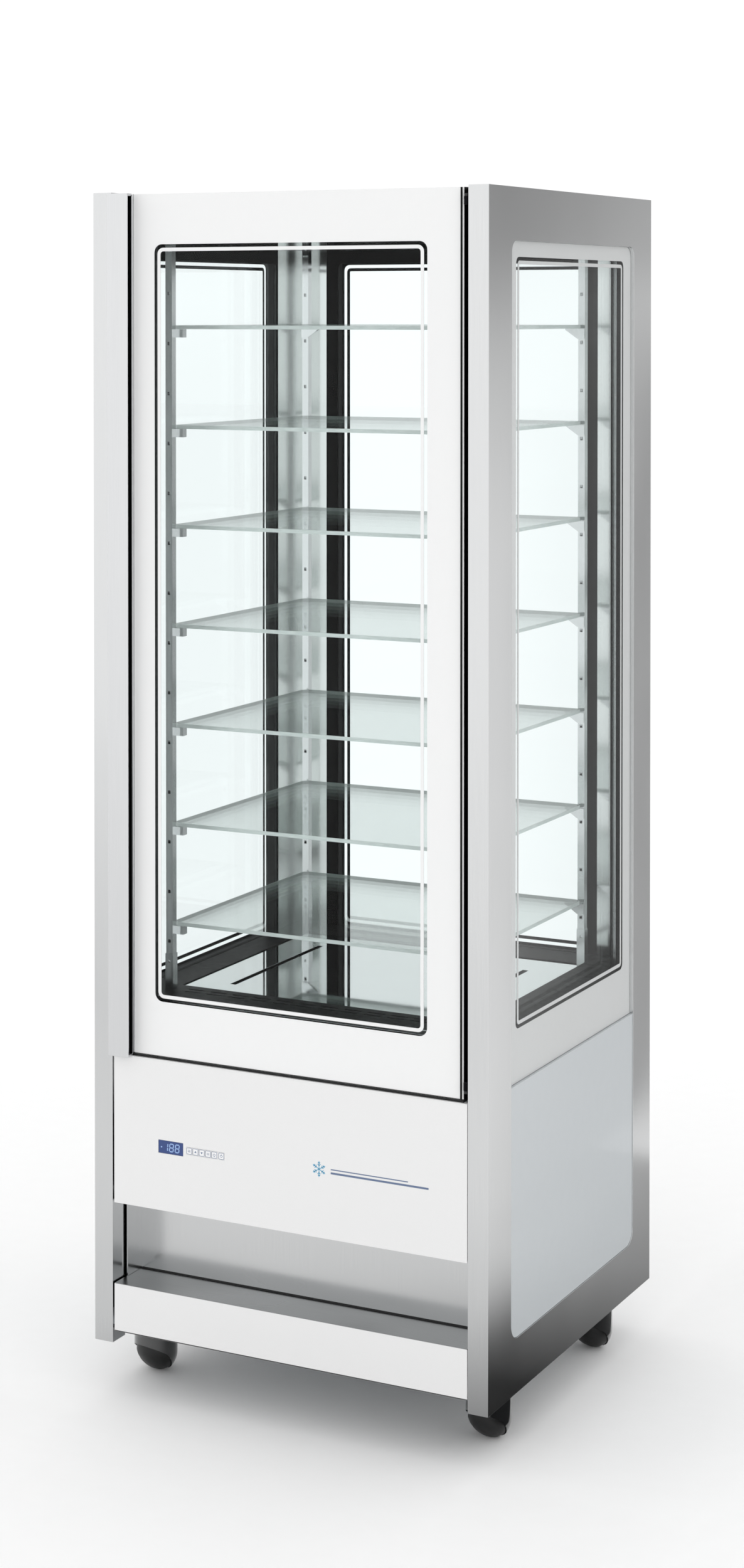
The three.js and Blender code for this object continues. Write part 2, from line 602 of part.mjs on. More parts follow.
// The part's frame: middle of the plan, handle included, with the floor at Z = 0.
const bounds = new THREE.Box3().setFromObject(cabinet, true);
const middle = bounds.getCenter(new THREE.Vector3());
cabinet.position.set(-middle.x, -middle.y, -bounds.min.z);
const tower = new THREE.Group();
tower.add(cabinet);

export default tower;
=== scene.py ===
# %% [markdown]
# # A refrigerated display tower
# The tower stands in a cake shop. It has four glazed sides, a hinged glass door, seven glass
# shelves, a machine compartment under the cold space and four hooded castors. The frame that is
# loaded here already holds every part at its real size, so this script only adds what the eye
# needs: fine edges, real glazing, fittings that repeat, and a finish for each material.

# %% Load the fixed frame
import json
import math

import bmesh
import bpy
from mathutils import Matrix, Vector

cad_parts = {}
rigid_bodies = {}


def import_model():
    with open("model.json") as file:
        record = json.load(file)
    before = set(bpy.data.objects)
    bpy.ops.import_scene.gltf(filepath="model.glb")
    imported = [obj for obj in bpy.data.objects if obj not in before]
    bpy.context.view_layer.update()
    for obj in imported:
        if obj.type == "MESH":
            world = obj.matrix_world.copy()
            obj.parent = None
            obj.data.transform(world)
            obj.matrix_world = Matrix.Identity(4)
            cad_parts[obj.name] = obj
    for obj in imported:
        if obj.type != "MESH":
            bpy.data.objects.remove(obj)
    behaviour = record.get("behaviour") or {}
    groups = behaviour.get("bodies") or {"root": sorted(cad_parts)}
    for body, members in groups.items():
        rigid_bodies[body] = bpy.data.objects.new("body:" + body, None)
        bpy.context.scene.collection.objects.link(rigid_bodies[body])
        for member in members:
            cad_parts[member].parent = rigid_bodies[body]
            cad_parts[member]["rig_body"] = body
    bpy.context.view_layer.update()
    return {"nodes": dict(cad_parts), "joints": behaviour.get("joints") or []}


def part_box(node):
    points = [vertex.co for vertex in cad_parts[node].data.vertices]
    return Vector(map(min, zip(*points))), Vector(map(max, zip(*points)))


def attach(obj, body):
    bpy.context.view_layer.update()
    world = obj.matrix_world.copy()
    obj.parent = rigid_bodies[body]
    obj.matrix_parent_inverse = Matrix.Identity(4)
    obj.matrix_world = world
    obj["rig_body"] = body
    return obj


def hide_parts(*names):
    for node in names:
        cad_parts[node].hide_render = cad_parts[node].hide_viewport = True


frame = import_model()

# %% [markdown]
# ## Cabinet coordinates
# A fitter measures a cabinet from one corner, in millimetres. So do these cells: X from the left
# side, Y from the front face and Z from the lower edge of the side walls. One function turns such
# a place into the frame's metres, and another reads a node's box back in millimetres.

# %% Corner, overall sizes and conversions
MM = 0.001
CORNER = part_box("left_side_frame")[0]


def at(x, y, z):
    """A place in the cabinet, in millimetres, as a point of the frame."""
    return CORNER + Vector((x, y, z)) * MM


def box_of(node):
    """A node's lowest and highest corners in cabinet millimetres."""
    return [(corner - CORNER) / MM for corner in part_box(node)]


WIDTH, DEPTH, HEIGHT = box_of("right_side_frame")[1]
FLOOR = -CORNER.z / MM  # the floor's height in cabinet millimetres
WALL = 26.0
DECK_TOP = box_of("deck")[1].z
CEILING = box_of("ceiling_panel")[0].z


def from_side(side, x):
    """A place x millimetres in from the cabinet's left or right side."""
    return x if side == "left" else WIDTH - x


print(f"cabinet {WIDTH:.0f} x {DEPTH:.0f} x {HEIGHT:.0f} mm, floor at {FLOOR:.0f}")

# %% [markdown]
# ## Camera
# The camera stands at eye height, to the right of the door, and looks almost level. Its view is
# shifted down, as a shift lens does it, so that the cabinet's upright edges stay nearly upright.

# %% Camera with a shifted lens
camera = bpy.data.objects.new("camera", bpy.data.cameras.new("camera"))
bpy.context.scene.collection.objects.link(camera)
bpy.context.scene.camera = camera
camera.location = (2.0002, -3.955, 1.7085)
camera.rotation_euler = (math.radians(89), 0, math.radians(26.9706))
camera.data.lens = 62.869
camera.data.shift_y = -0.2706
bpy.context.scene.view_settings.view_transform = "Standard"
bpy.context.scene.cycles.transparent_max_bounces = 40  # several double panes stand in a row
print("camera at", tuple(round(v, 2) for v in camera.location))

# %% [markdown]
# ## Nodes and colours
# Every material and every Geometry Nodes tree is built by the same small function: it adds one
# node, sets its properties, and gives each input a value or a link. Colours are written as sRGB
# hex, as on a paint card, and turned to linear light once.

# %% One function for any node, one for colours


def add_node(tree, kind, inputs=None, **settings):
    """Adds a node. An input that is given a socket is linked, and any other value is set."""
    made = tree.nodes.new(kind)
    for name, value in settings.items():
        setattr(made, name, value)
    for key, value in (inputs or {}).items():
        if isinstance(value, bpy.types.NodeSocket):
            tree.links.new(value, made.inputs[key])
        else:
            made.inputs[key].default_value = value
    return made


def colour(hex_code):
    """A linear colour from an sRGB hex code."""
    parts = [int(hex_code[i:i + 2], 16) / 255 for i in (1, 3, 5)]
    linear = [p / 12.92 if p <= 0.04045 else ((p + 0.055) / 1.055) ** 2.4 for p in parts]
    return (*linear, 1.0)


def blank_material(name):
    """An empty node material and its tree."""
    material = bpy.data.materials.new(name)
    material.use_nodes = True
    material.node_tree.nodes.clear()
    return material, material.node_tree


def close_material(tree, surface):
    """Links the last shader to the output."""
    add_node(tree, "ShaderNodeOutputMaterial", {"Surface": surface})


def grain(tree, spacing, stretch, detail=3.0):
    """Noise with one grain per spacing (mm), drawn out by the three factors in stretch."""
    place = add_node(tree, "ShaderNodeTexCoord").outputs["Object"]
    scale = [1 / factor for factor in stretch]
    mapped = add_node(tree, "ShaderNodeMapping", {"Vector": place, "Scale": scale})
    return add_node(tree, "ShaderNodeTexNoise", {
        "Vector": mapped.outputs["Vector"], "Scale": 1 / (spacing * MM), "Detail": detail,
    }).outputs["Fac"]


def between(tree, factor, low, high):
    """A number that runs from low to high as noise runs over its usual range."""
    return add_node(tree, "ShaderNodeMapRange", {
        "Value": factor, "From Min": 0.3, "From Max": 0.7, "To Min": low, "To Max": high,
    }).outputs["Result"]


def tinted(tree, factor, dark, light):
    """A colour between two hex codes, chosen by a factor."""
    mix = add_node(tree, "ShaderNodeMix", {"Factor": factor}, data_type="RGBA")
    first, second = [socket for socket in mix.inputs if socket.type == "RGBA"]
    first.default_value, second.default_value = colour(dark), colour(light)
    return next(socket for socket in mix.outputs if socket.type == "RGBA")


def relief(tree, height, depth):
    """A normal from a height pattern that is depth millimetres deep."""
    return add_node(tree, "ShaderNodeBump", {
        "Height": height, "Distance": depth * MM, "Strength": 1.0,
    }).outputs["Normal"]


print("helpers ready")

# %% [markdown]
# ## Stainless steel
# The walls are type 304 stainless sheet with a brushed finish: fine scratches that all run one
# way, which blur reflections across them and give the steel its soft sheen. Real scratches are
# about 0.1 mm apart; they are drawn at 0.8 mm so that they show. The lining and the deck are the
# same steel with a bright, almost mirror finish.

# %% Brushed and bright stainless


def stainless(name, spacing, stretch, dark, light, rough, depth):
    """Type 304 sheet. The grain's stretch says which way it was brushed."""
    material, tree = blank_material(name)
    scratches = grain(tree, spacing, stretch)
    clouds = grain(tree, 160, (1, 1, 1.6), detail=1.0)
    shader = add_node(tree, "ShaderNodeBsdfPrincipled", {
        "Base Color": tinted(tree, scratches, dark, light),
        "Roughness": between(tree, clouds, *rough),
        "Normal": relief(tree, scratches, depth),
        "Metallic": 1.0,
    })
    close_material(tree, shader.outputs["BSDF"])
    return material


UPRIGHT_GRAIN = (1, 1, 90)
LEVEL_GRAIN = (90, 1, 1)
# Walls, brushed upright: reflections blur sideways, so they run into soft upright bands.
brushed_steel = stainless("stainless_304_brushed", 0.8, UPRIGHT_GRAIN, "#dadbdc", "#e3e4e4",
                          (0.15, 0.21), 0.012)
# Roof, brushed from side to side, and a little duller.
brushed_level = stainless("stainless_304_brushed_level", 0.8, LEVEL_GRAIN, "#d4d6d8", "#e4e5e6",
                          (0.22, 0.3), 0.012)
# Corner linings, bright annealed: they repeat the shelves as sharp stripes.
bright_steel = stainless("stainless_304_bright", 1.2, UPRIGHT_GRAIN, "#dddfde", "#e4e6e5",
                         (0.1, 0.15), 0.004)
# Plinth's top: darker than the walls, which is painted shade of the recess above it, and rougher.
painted_shade_steel = stainless("stainless_304_painted_shade", 0.9, LEVEL_GRAIN, "#8b8d8e", "#9c9e9f",
                       (0.25, 0.36), 0.02)
# Deck and ceiling, polished: they show the lowest and the highest shelf again.
mirror_steel = stainless("stainless_304_mirror", 1.5, LEVEL_GRAIN, "#bfc3c3", "#c9cccb",
                         (0.03, 0.06), 0.002)
print("stainless finishes:", len(bpy.data.materials))

# %% [markdown]
# ## Painted, plated and moulded finishes
# Most other surfaces are one kind of material each: a dielectric with a colour, a gloss and a
# small relief from how it was made. Powder coat has the shallow waves called orange peel, moulded
# plastic a fine spark-eroded texture, and anodised aluminium a short straight grain.

# %% One recipe for coloured finishes


def coloured(name, dark, light, rough, spacing, depth, stretch=(1, 1, 1), **fixed):
    """A finish with slight colour change, roughness change and relief at one real spacing (mm)."""
    material, tree = blank_material(name)
    texture = grain(tree, spacing, stretch)
    shader = add_node(tree, "ShaderNodeBsdfPrincipled", {
        "Base Color": tinted(tree, texture, dark, light),
        "Roughness": between(tree, grain(tree, spacing * 12, stretch), *rough),
        "Normal": relief(tree, texture, depth),
        **fixed,
    })
    close_material(tree, shader.outputs["BSDF"])
    return material


# Polyester powder coat: shallow orange peel and an even satin gloss.
white_coat = coloured("powder_coat_white", "#e8e8e8", "#ebebeb", (0.28, 0.36), 1.6, 0.01,
                      **{"IOR": 1.5, "Coat Weight": 0.3, "Coat Roughness": 0.12})
# Ceramic paint fired on the back of glass: dead flat, the glass in front gives the gloss. The
# black one reflects less than real paint would, so that it stays black behind its pane.
white_frit = coloured("ceramic_frit_white", "#f0f1f1", "#f3f3f3", (0.5, 0.6), 0.8, 0.003)
grey_frit = coloured("ceramic_frit_grey", "#c5c7c7", "#cacccc", (0.5, 0.6), 0.8, 0.003)
black_frit = coloured("ceramic_frit_black", "#050606", "#090a0a", (0.3, 0.4), 0.8, 0.003,
                      **{"Specular IOR Level": 0.2})
# Back-painted glass panel: the same paint seen under its own glass, so a coat stands for it.
# The panel is white; its grey-blue colour is painted shade of the less lit side.
white_glass_painted_shade = coloured("back_painted_glass_white_painted_shade", "#bbc0c3", "#c0c5c8", (0.3, 0.4), 2.0, 0.002,
                            **{"Coat Weight": 0.4, "Coat Roughness": 0.08})
# Anodised aluminium, satin etched: straight extrusion grain under a hard clear oxide.
satin_aluminium = coloured("anodised_aluminium_satin", "#dddedf", "#e6e7e8", (0.3, 0.38), 0.7,
                           0.01, UPRIGHT_GRAIN, **{"Metallic": 1.0})
# The same extrusion dyed black, on the door's edge.
black_aluminium = coloured("anodised_aluminium_black", "#101011", "#18181a", (0.35, 0.45), 0.7,
                           0.01, UPRIGHT_GRAIN, **{"Metallic": 1.0})
# EPDM rubber: dull black with a fine skin.
rubber = coloured("epdm_rubber", "#0a0a0b", "#131314", (0.6, 0.75), 0.6, 0.02)
# Moulded ABS with a polished tool: deep black, and glossier than real so that its dome shows.
gloss_plastic = coloured("abs_gloss_black", "#161718", "#1b1c1d", (0.14, 0.22), 3.0, 0.004,
                         **{"Coat Weight": 1.0, "Coat Roughness": 0.08, "Specular IOR Level": 0.9})
# Polypropylene with an eroded tool: black and satin, and duller than real, to stay black.
satin_plastic = coloured("polypropylene_black", "#050606", "#090a0a", (0.45, 0.6), 0.7, 0.02,
                         **{"Specular IOR Level": 0.08})
# Polyurethane tread: black, slightly scuffed in rings where it rolls.
tread = coloured("polyurethane_tread", "#040405", "#0a0a0b", (0.35, 0.5), 1.4, 0.03)
# Black stoving enamel on the compressor: thick, glossy, with brush-free flow marks.
black_enamel = coloured("stoving_enamel_black", "#0d0e0f", "#151718", (0.2, 0.3), 4.0, 0.03)
# Acrylic lens in front of the figures: tinted right through.
navy_lens = coloured("acrylic_lens_navy", "#1d3a78", "#21407f", (0.08, 0.12), 4.0, 0.002,
                     **{"Coat Weight": 0.6, "Coat Roughness": 0.03})
# Polyester overlay printed on its back, with a velvet hard coat.
overlay = coloured("polyester_overlay", "#f0f1f2", "#f4f4f5", (0.35, 0.42), 0.5, 0.006)
# Screen inks of the key signs and of the mark.
ink_grey = coloured("screen_ink_grey", "#5d6f8e", "#687a99", (0.4, 0.5), 0.4, 0.004)
ink_blue = coloured("screen_ink_blue", "#3a9cc4", "#45a6cd", (0.35, 0.45), 0.4, 0.004)
# Copper tube, drawn and slightly tarnished.
copper = coloured("copper_tube", "#b4653f", "#d58a60", (0.25, 0.4), 6.0, 0.02, **{"Metallic": 1.0})
# Thin aluminium fins, mill finish.
fin_metal = coloured("aluminium_fin_mill", "#b6b9bb", "#cfd1d3", (0.3, 0.45), 1.2, 0.01,
                     UPRIGHT_GRAIN, **{"Metallic": 1.0})
# Opal polycarbonate over the lamps.
opal = coloured("polycarbonate_opal", "#f4f6f6", "#fbfcfc", (0.3, 0.4), 1.0, 0.003)
# Turned and nickel-plated screws and pins.
plated = coloured("nickel_plate", "#c3c5c6", "#dcdddd", (0.15, 0.25), 0.5, 0.01,
                  **{"Metallic": 1.0})
print("finishes:", len(bpy.data.materials))

# %% [markdown]
# ## Zinc, light and glass
# Galvanised sheet shows crystals a few millimetres across, which a Voronoi pattern gives. The
# figures on the display glow. Flat panes don't bend what is seen through them, so a pane is a
# transparent surface that also reflects more at a glancing angle, by Fresnel's law. The panes of
# the walls keep only a small share of it, far less than real ones, so that the black borders
# behind them look black.

# %% Zinc spangle, glowing figures, panes


def zinc_spangle():
    """Hot-dipped zinc: flat crystals, each a slightly different grey."""
    material, tree = blank_material("galvanised_sheet")
    place = add_node(tree, "ShaderNodeTexCoord").outputs["Object"]
    cells = add_node(tree, "ShaderNodeTexVoronoi", {"Vector": place, "Scale": 1 / (9 * MM)})
    shade = add_node(tree, "ShaderNodeSeparateColor", {"Color": cells.outputs["Color"]})
    shader = add_node(tree, "ShaderNodeBsdfPrincipled", {
        "Base Color": tinted(tree, shade.outputs["Red"], "#a9adb0", "#bfc3c5"),
        "Roughness": between(tree, shade.outputs["Green"], 0.35, 0.5),
        "Metallic": 1.0,
    })
    close_material(tree, shader.outputs["BSDF"])
    return material


def glowing(name, hex_code, strength):
    """A lit surface with a slight unevenness, as light-emitting diodes have."""
    material, tree = blank_material(name)
    glow = between(tree, grain(tree, 3, (1, 1, 1)), 0.92 * strength, 1.05 * strength)
    lamp = add_node(tree, "ShaderNodeEmission", {"Color": colour(hex_code), "Strength": glow})
    close_material(tree, lamp.outputs["Emission"])
    return material


def pane_glass(name, clear, share):
    """Float glass. share is how much of Fresnel's reflection a face keeps."""
    material, tree = blank_material(name)
    fresnel = add_node(tree, "ShaderNodeFresnel", {"IOR": 1.5}).outputs["Fac"]
    kept = add_node(tree, "ShaderNodeMath", {0: fresnel, 1: share}, operation="MULTIPLY")
    through = add_node(tree, "ShaderNodeBsdfTransparent", {"Color": colour(clear)})
    film = between(tree, grain(tree, 60, (1, 1, 1)), 0.0, 0.015)
    mirror = add_node(tree, "ShaderNodeBsdfGlossy", {"Color": colour("#ffffff"), "Roughness": film})
    mixed = add_node(tree, "ShaderNodeMixShader", {
        0: kept.outputs["Value"], 1: through.outputs["BSDF"], 2: mirror.outputs["BSDF"],
    })
    close_material(tree, mixed.outputs["Shader"])
    return material


def polished_edge():
    """The ground and polished edge of a shelf: light collects there and looks pale green."""
    material, tree = blank_material("polished_glass_edge")
    streaks = grain(tree, 14, (1, 1, 0.1))
    shader = add_node(tree, "ShaderNodeBsdfPrincipled", {
        "Base Color": tinted(tree, streaks, "#b3bdba", "#e6ebe9"),
        "Roughness": 0.12,
        "IOR": 1.52,
    })
    close_material(tree, shader.outputs["BSDF"])
    return material


zinc = zinc_spangle()
figures = glowing("led_figures", "#a9c6f2", 1.0)
outer_glass = pane_glass("toughened_glass", "#ffffff", 0.08)
inner_glass = pane_glass("low_emissivity_glass", "#fdffff", 0.06)
shelf_glass = pane_glass("shelf_glass", "#eaedec", 0.6)
glass_edge = polished_edge()
print("materials:", len(bpy.data.materials))

# %% [markdown]
# ## Making solids
# A sheet-metal shop works from outlines: an outline is given a thickness, or a second outline is
# cut out of it. Turned parts come from a profile that goes once round an axis. Each helper returns
# points and faces in cabinet millimetres, and one function joins them into a finished piece.

# %% Outlines, plates, rings and turned parts
CORNER_STEPS = 6


def rounded(u0, u1, v0, v1, low=0.01, high=None):
    """A rectangle with rounded corners, one radius for the lower pair and one for the upper."""
    high = low if high is None else high
    corners = [(u1 - high, v1 - high, high, 0), (u0 + high, v1 - high, high, 90),
               (u0 + low, v0 + low, low, 180), (u1 - low, v0 + low, low, 270)]
    points = []
    for u, v, radius, start in corners:
        for step in range(CORNER_STEPS + 1):
            angle = math.radians(start + 90 * step / CORNER_STEPS)
            points.append((u + radius * math.cos(angle), v + radius * math.sin(angle)))
    return points


def stood(axis, u, v, w):
    """A point of an outline (u, v), w along the axis that the outline is square to."""
    return {"X": (w, u, v), "Y": (u, w, v), "Z": (u, v, w)}[axis]


def plate(axis, outline, low, high):
    """A solid with one outline from low to high along the axis."""
    n = len(outline)
    points = [stood(axis, u, v, w) for w in (low, high) for u, v in outline]
    sides = [(i, (i + 1) % n, n + (i + 1) % n, n + i) for i in range(n)]
    return points, [tuple(range(n)), tuple(range(n, 2 * n)), *sides]


def block(x0, x1, y0, y1, z0, z1):
    """A box between two corners."""
    return plate("Z", [(x0, y0), (x1, y0), (x1, y1), (x0, y1)], z0, z1)


def ring(axis, outer, inner, low, high):
    """A flat frame between two outlines with equally many points."""
    n = len(outer)
    loops = ((outer, low), (inner, low), (inner, high), (outer, high))
    points = [stood(axis, u, v, w) for outline, w in loops for u, v in outline]
    faces = []
    for k in range(4):
        here, there = k * n, (k + 1) % 4 * n
        faces += [(here + i, here + (i + 1) % n, there + (i + 1) % n, there + i) for i in range(n)]
    return points, faces


def turned(profile, sides=48):
    """A solid of revolution about Z. The profile starts and ends on the axis."""
    points, faces, rows = [], [], []
    for radius, height in profile:
        if radius == 0:
            rows.append([len(points)] * sides)
            points.append((0, 0, height))
            continue
        rows.append(list(range(len(points), len(points) + sides)))
        points += [(radius * math.cos(2 * math.pi * i / sides),
                    radius * math.sin(2 * math.pi * i / sides), height) for i in range(sides)]
    for low, high in zip(rows, rows[1:]):
        for i in range(sides):
            j = (i + 1) % sides
            corners = (low[i], low[j], high[j], high[i])
            faces.append(tuple(dict.fromkeys(corners)))
    return points, faces


def disc(u, v, radius, sides):
    """A round outline."""
    turns = [math.tau * i / sides for i in range(sides)]
    return [(u + radius * math.cos(turn), v + radius * math.sin(turn)) for turn in turns]


def placed(shape, centre, toward=(0, 0, 1)):
    """A shape drawn about the origin, turned so that its Z points toward a direction."""
    turn = Vector((0, 0, 1)).rotation_difference(Vector(toward)).to_matrix()
    return [tuple(turn @ Vector(p) + Vector(centre)) for p in shape[0]], shape[1]


def rod(centre, radius, length, toward=(0, 0, 1), sides=32, chamfer=0.3):
    """A rod with its middle at a place, and its ends chamfered."""
    half = length / 2
    profile = [(0, -half), (radius - chamfer, -half), (radius, chamfer - half),
               (radius, half - chamfer), (radius - chamfer, half), (0, half)]
    return placed(turned(profile, sides), centre, toward)


def routed(corners, bend=12, steps=6):
    """A path through corners, with each corner rounded off."""
    path = [Vector(corners[0])]
    for before, corner, after in zip(corners, corners[1:], corners[2:]):
        corner = Vector(corner)
        start = corner + (Vector(before) - corner).normalized() * bend
        stop = corner + (Vector(after) - corner).normalized() * bend
        for part in [step / steps for step in range(steps + 1)]:
            path.append(start.lerp(corner, part).lerp(corner.lerp(stop, part), part))
    return [*path, Vector(corners[-1])]


def tube(path, radius, sides=16):
    """A round tube along a path, with closed ends."""
    points, faces, last = [], [], len(path) - 1
    across = (path[1] - path[0]).orthogonal()
    for i, stop in enumerate(path):
        along = (path[min(i + 1, last)] - path[max(i - 1, 0)]).normalized()
        across = (across - along * across.dot(along)).normalized()
        for angle in [math.tau * k / sides for k in range(sides)]:
            out = across * math.cos(angle) + along.cross(across) * math.sin(angle)
            points.append(tuple(stop + out * radius))
        if i:
            here = i * sides
            faces += [(here - sides + k, here - sides + (k + 1) % sides, here + (k + 1) % sides,
                       here + k) for k in range(sides)]
    return points, [tuple(range(sides)), *faces, tuple(range(last * sides, (last + 1) * sides))]


print("shape helpers ready")

# %% [markdown]
# ## From shapes to pieces
# No real edge is perfectly sharp: a folded or moulded edge has a small radius that catches the
# light. So every piece gets a narrow bevel with smooth shading. A node that the frame already
# holds at its right shape is copied, its loose triangles are merged, and the copy gets that edge.

# %% Joining, softening and riding
SHARP = math.radians(35)
EDGE_SEGMENTS = 2
SAME_CORNER = 0.02  # corners nearer than this are one corner


def turned_out(mesh, merge=0.0):
    """Recalculates a mesh's faces to point outwards, after merging doubles within a distance."""
    work = bmesh.new()
    work.from_mesh(mesh)
    if merge:
        bmesh.ops.remove_doubles(work, verts=work.verts, dist=merge)
    bmesh.ops.recalc_face_normals(work, faces=work.faces)
    work.to_mesh(mesh)
    work.free()


def mesh_of(name, shapes, local=False):
    """Shapes as one mesh, placed in the cabinet or, when local, about the origin."""
    points, faces = [], []
    for shape in shapes:
        start = len(points)
        points += [Vector(p) * MM if local else at(*p) for p in shape[0]]
        faces += [tuple(start + i for i in face) for face in shape[1]]
    mesh = bpy.data.meshes.new(name)
    mesh.from_pydata(points, [], faces)
    turned_out(mesh)
    return mesh


def shown(name, mesh):
    """An object in the scene with a mesh."""
    made = bpy.data.objects.new(name, mesh)
    bpy.context.scene.collection.objects.link(made)
    return made


def soft_edges(made, width):
    """Rounds a piece's sharp edges by a width in millimetres and smooths its curved faces."""
    made.data.shade_smooth()
    made.data.set_sharp_from_angle(angle=SHARP)
    if width:
        bevel = made.modifiers.new("edge", "BEVEL")
        bevel.width, bevel.segments = width * MM, EDGE_SEGMENTS
        bevel.limit_method, bevel.angle_limit = "ANGLE", SHARP
        bevel.harden_normals = True


def finished(made, material, body, stands_for, edge):
    """Gives a piece its finish, edge and body."""
    made.data.materials.append(material)
    soft_edges(made, edge)
    if stands_for:
        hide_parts(*stands_for)
    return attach(made, body)


def piece(name, shapes, material, body="cabinet", stands_for=(), edge=0.3):
    """Joins shapes into one piece that rides on a body."""
    return finished(shown(name, mesh_of(name, shapes)), material, body, stands_for, edge)


def copied(node):
    """A node's mesh with its loose triangles joined."""
    mesh = frame["nodes"][node].data.copy()
    mesh.materials.clear()
    for layer in list(mesh.uv_layers):
        mesh.uv_layers.remove(layer)
    if mesh.has_custom_normals:
        mesh.attributes.remove(mesh.attributes["custom_normal"])
    turned_out(mesh, merge=SAME_CORNER * MM)
    return mesh


def softened(node, material, edge=0.5):
    """A copy of a node with fine edges, which stands for it."""
    body = frame["nodes"][node]["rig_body"]
    return finished(shown(node + "_finished", copied(node)), material, body, [node], edge)


print("piece helpers ready")

# %% [markdown]
# ## Sheet-metal body and plain parts
# Walls, roof, base and linings are folded sheet. Their shapes are right in the frame, and so are
# those of the handle, gasket and hinge pins, so each is copied with a fine edge.

# %% Walls, roof, base, linings and plain parts
CORNERS = [f"{row}_{side}" for row in ("front", "rear") for side in ("left", "right")]
READY_NODES = {
    brushed_steel: ["left_side_frame", "right_side_frame", "rear_frame", "recess_liner"],
    brushed_level: ["top_panel"],
    bright_steel: [f"{corner}_corner_liner" for corner in CORNERS],
    mirror_steel: ["ceiling_panel"],
    zinc: ["base_pan", "rear_grille"],
    # white lower side panels, with grey-blue painted shade
    white_glass_painted_shade: ["left_lower_panel", "right_lower_panel"],
    satin_plastic: ["insulated_floor", "condensate_tray"],
    satin_aluminium: ["door_handle"],
    black_aluminium: ["door_frame"],
    rubber: ["door_gasket"],
    black_enamel: ["lower_hinge_pin", "upper_hinge_pin"],
}
for material, nodes in READY_NODES.items():
    for node in nodes:
        softened(node, material)
print("softened nodes:", sum(len(nodes) for nodes in READY_NODES.values()))

# %% [markdown]
# ## Glazing
# Each wall is an insulating glass unit: an outer pane, a black edge seal, and an inner pane. The
# outer pane carries a printed border that hides the seal, grey or white outside and black inside,
# then a clear line, then a thin printed line. The print is a thin coat behind the outer pane.

# %% Printed borders and double panes
COAT = 0.25  # thickness of one printed coat
STRIP = 5.5  # clear line inside the border
LINE = 5.5  # printed line inside the clear line
HAIR = 0.02  # a gap that keeps two faces out of one plane
SEAL_LIP = 4  # how far the seal stays hidden behind the print


def printed(axis, border, clear, radius, face, inward):
    """The printed coats behind a pane: (outside shapes, inside shapes)."""
    u0, u1, v0, v1 = clear
    window = rounded(u0, u1, v0, v1, radius)
    line_out = rounded(u0 + STRIP, u1 - STRIP, v0 + STRIP, v1 - STRIP, radius - 3)
    inset = STRIP + LINE
    line_in = rounded(u0 + inset, u1 - inset, v0 + inset, v1 - inset, radius - 8)
    shapes = []
    for coat in (0, 1):
        low, high = sorted((face + inward * coat * COAT, face + inward * (coat + 1) * COAT))
        shapes.append([ring(axis, border, window, low, high),
                       ring(axis, line_out, line_in, low, high)])
    return shapes


def glazing(name, axis, border, clear, hole, faces, frit, body="cabinet", radius=10):
    """A double pane. faces are the outer pane's two faces and the inner pane's two faces."""
    outer, back, inner, inside = faces
    inward = 1 if inside > outer else -1
    pane = plate(axis, border, *sorted((outer, back)))
    second = plate(axis, rounded(*hole, 1), *sorted((inner, inside)))
    piece(f"{name}_outer_pane", [pane], outer_glass, body, stands_for=[f"{name}_glass_unit"],
          edge=0)
    piece(f"{name}_inner_pane", [second], inner_glass, body, edge=0)
    outside, behind = printed(axis, border, clear, radius, back + inward * HAIR, inward)
    piece(f"{name}_border_print", outside, frit, body, edge=0)
    piece(f"{name}_black_backing", behind, black_frit, body, edge=0)
    seal_in = [clear[0] - SEAL_LIP, clear[1] + SEAL_LIP, clear[2] - SEAL_LIP, clear[3] + SEAL_LIP]
    cavity = sorted((back + inward * (2 * COAT + 0.05), inner - inward * HAIR))
    seal = ring(axis, rounded(*hole, 1), rounded(*seal_in, 3), *cavity)
    piece(f"{name}_edge_seal", [seal], rubber, body, edge=0)


SIDE_UNIT = box_of("left_glass_unit")
REAR_UNIT = box_of("rear_glass_unit")
CLEAR_FRONT, CLEAR_REAR, CLEAR_LOW, CLEAR_HIGH = 112, 543, 545, 1706  # clear glass of a side
HOLE_FRONT, HOLE_REAR, HOLE_LOW, HOLE_HIGH = 103, 556, 536, 1715  # opening in the wall behind it
REAR_CLEAR, REAR_HOLE = 108, 103  # the same at the rear, in from either side
PANE_FACES = (1.2, 6.2, 20, 24)  # both faces of the outer and of the inner pane, in from outside
TOP_RADIUS = 17.6
for side in ("left", "right"):
    y0, z0, y1, z1 = SIDE_UNIT[0].y, SIDE_UNIT[0].z, SIDE_UNIT[1].y, SIDE_UNIT[1].z
    glazing(side, "X", rounded(y0, y1, z0, z1, 0.01, TOP_RADIUS),
            (CLEAR_FRONT, CLEAR_REAR, CLEAR_LOW, CLEAR_HIGH),
            (HOLE_FRONT, HOLE_REAR, HOLE_LOW, HOLE_HIGH),
            [from_side(side, x) for x in PANE_FACES], grey_frit)
x0, z0, x1, z1 = REAR_UNIT[0].x, REAR_UNIT[0].z, REAR_UNIT[1].x, REAR_UNIT[1].z
glazing("rear", "Y", rounded(x0, x1, z0, z1, 0.01, TOP_RADIUS),
        (REAR_CLEAR, WIDTH - REAR_CLEAR, CLEAR_LOW, CLEAR_HIGH),
        (REAR_HOLE, WIDTH - REAR_HOLE, HOLE_LOW, HOLE_HIGH),
        [DEPTH - y for y in PANE_FACES], grey_frit)

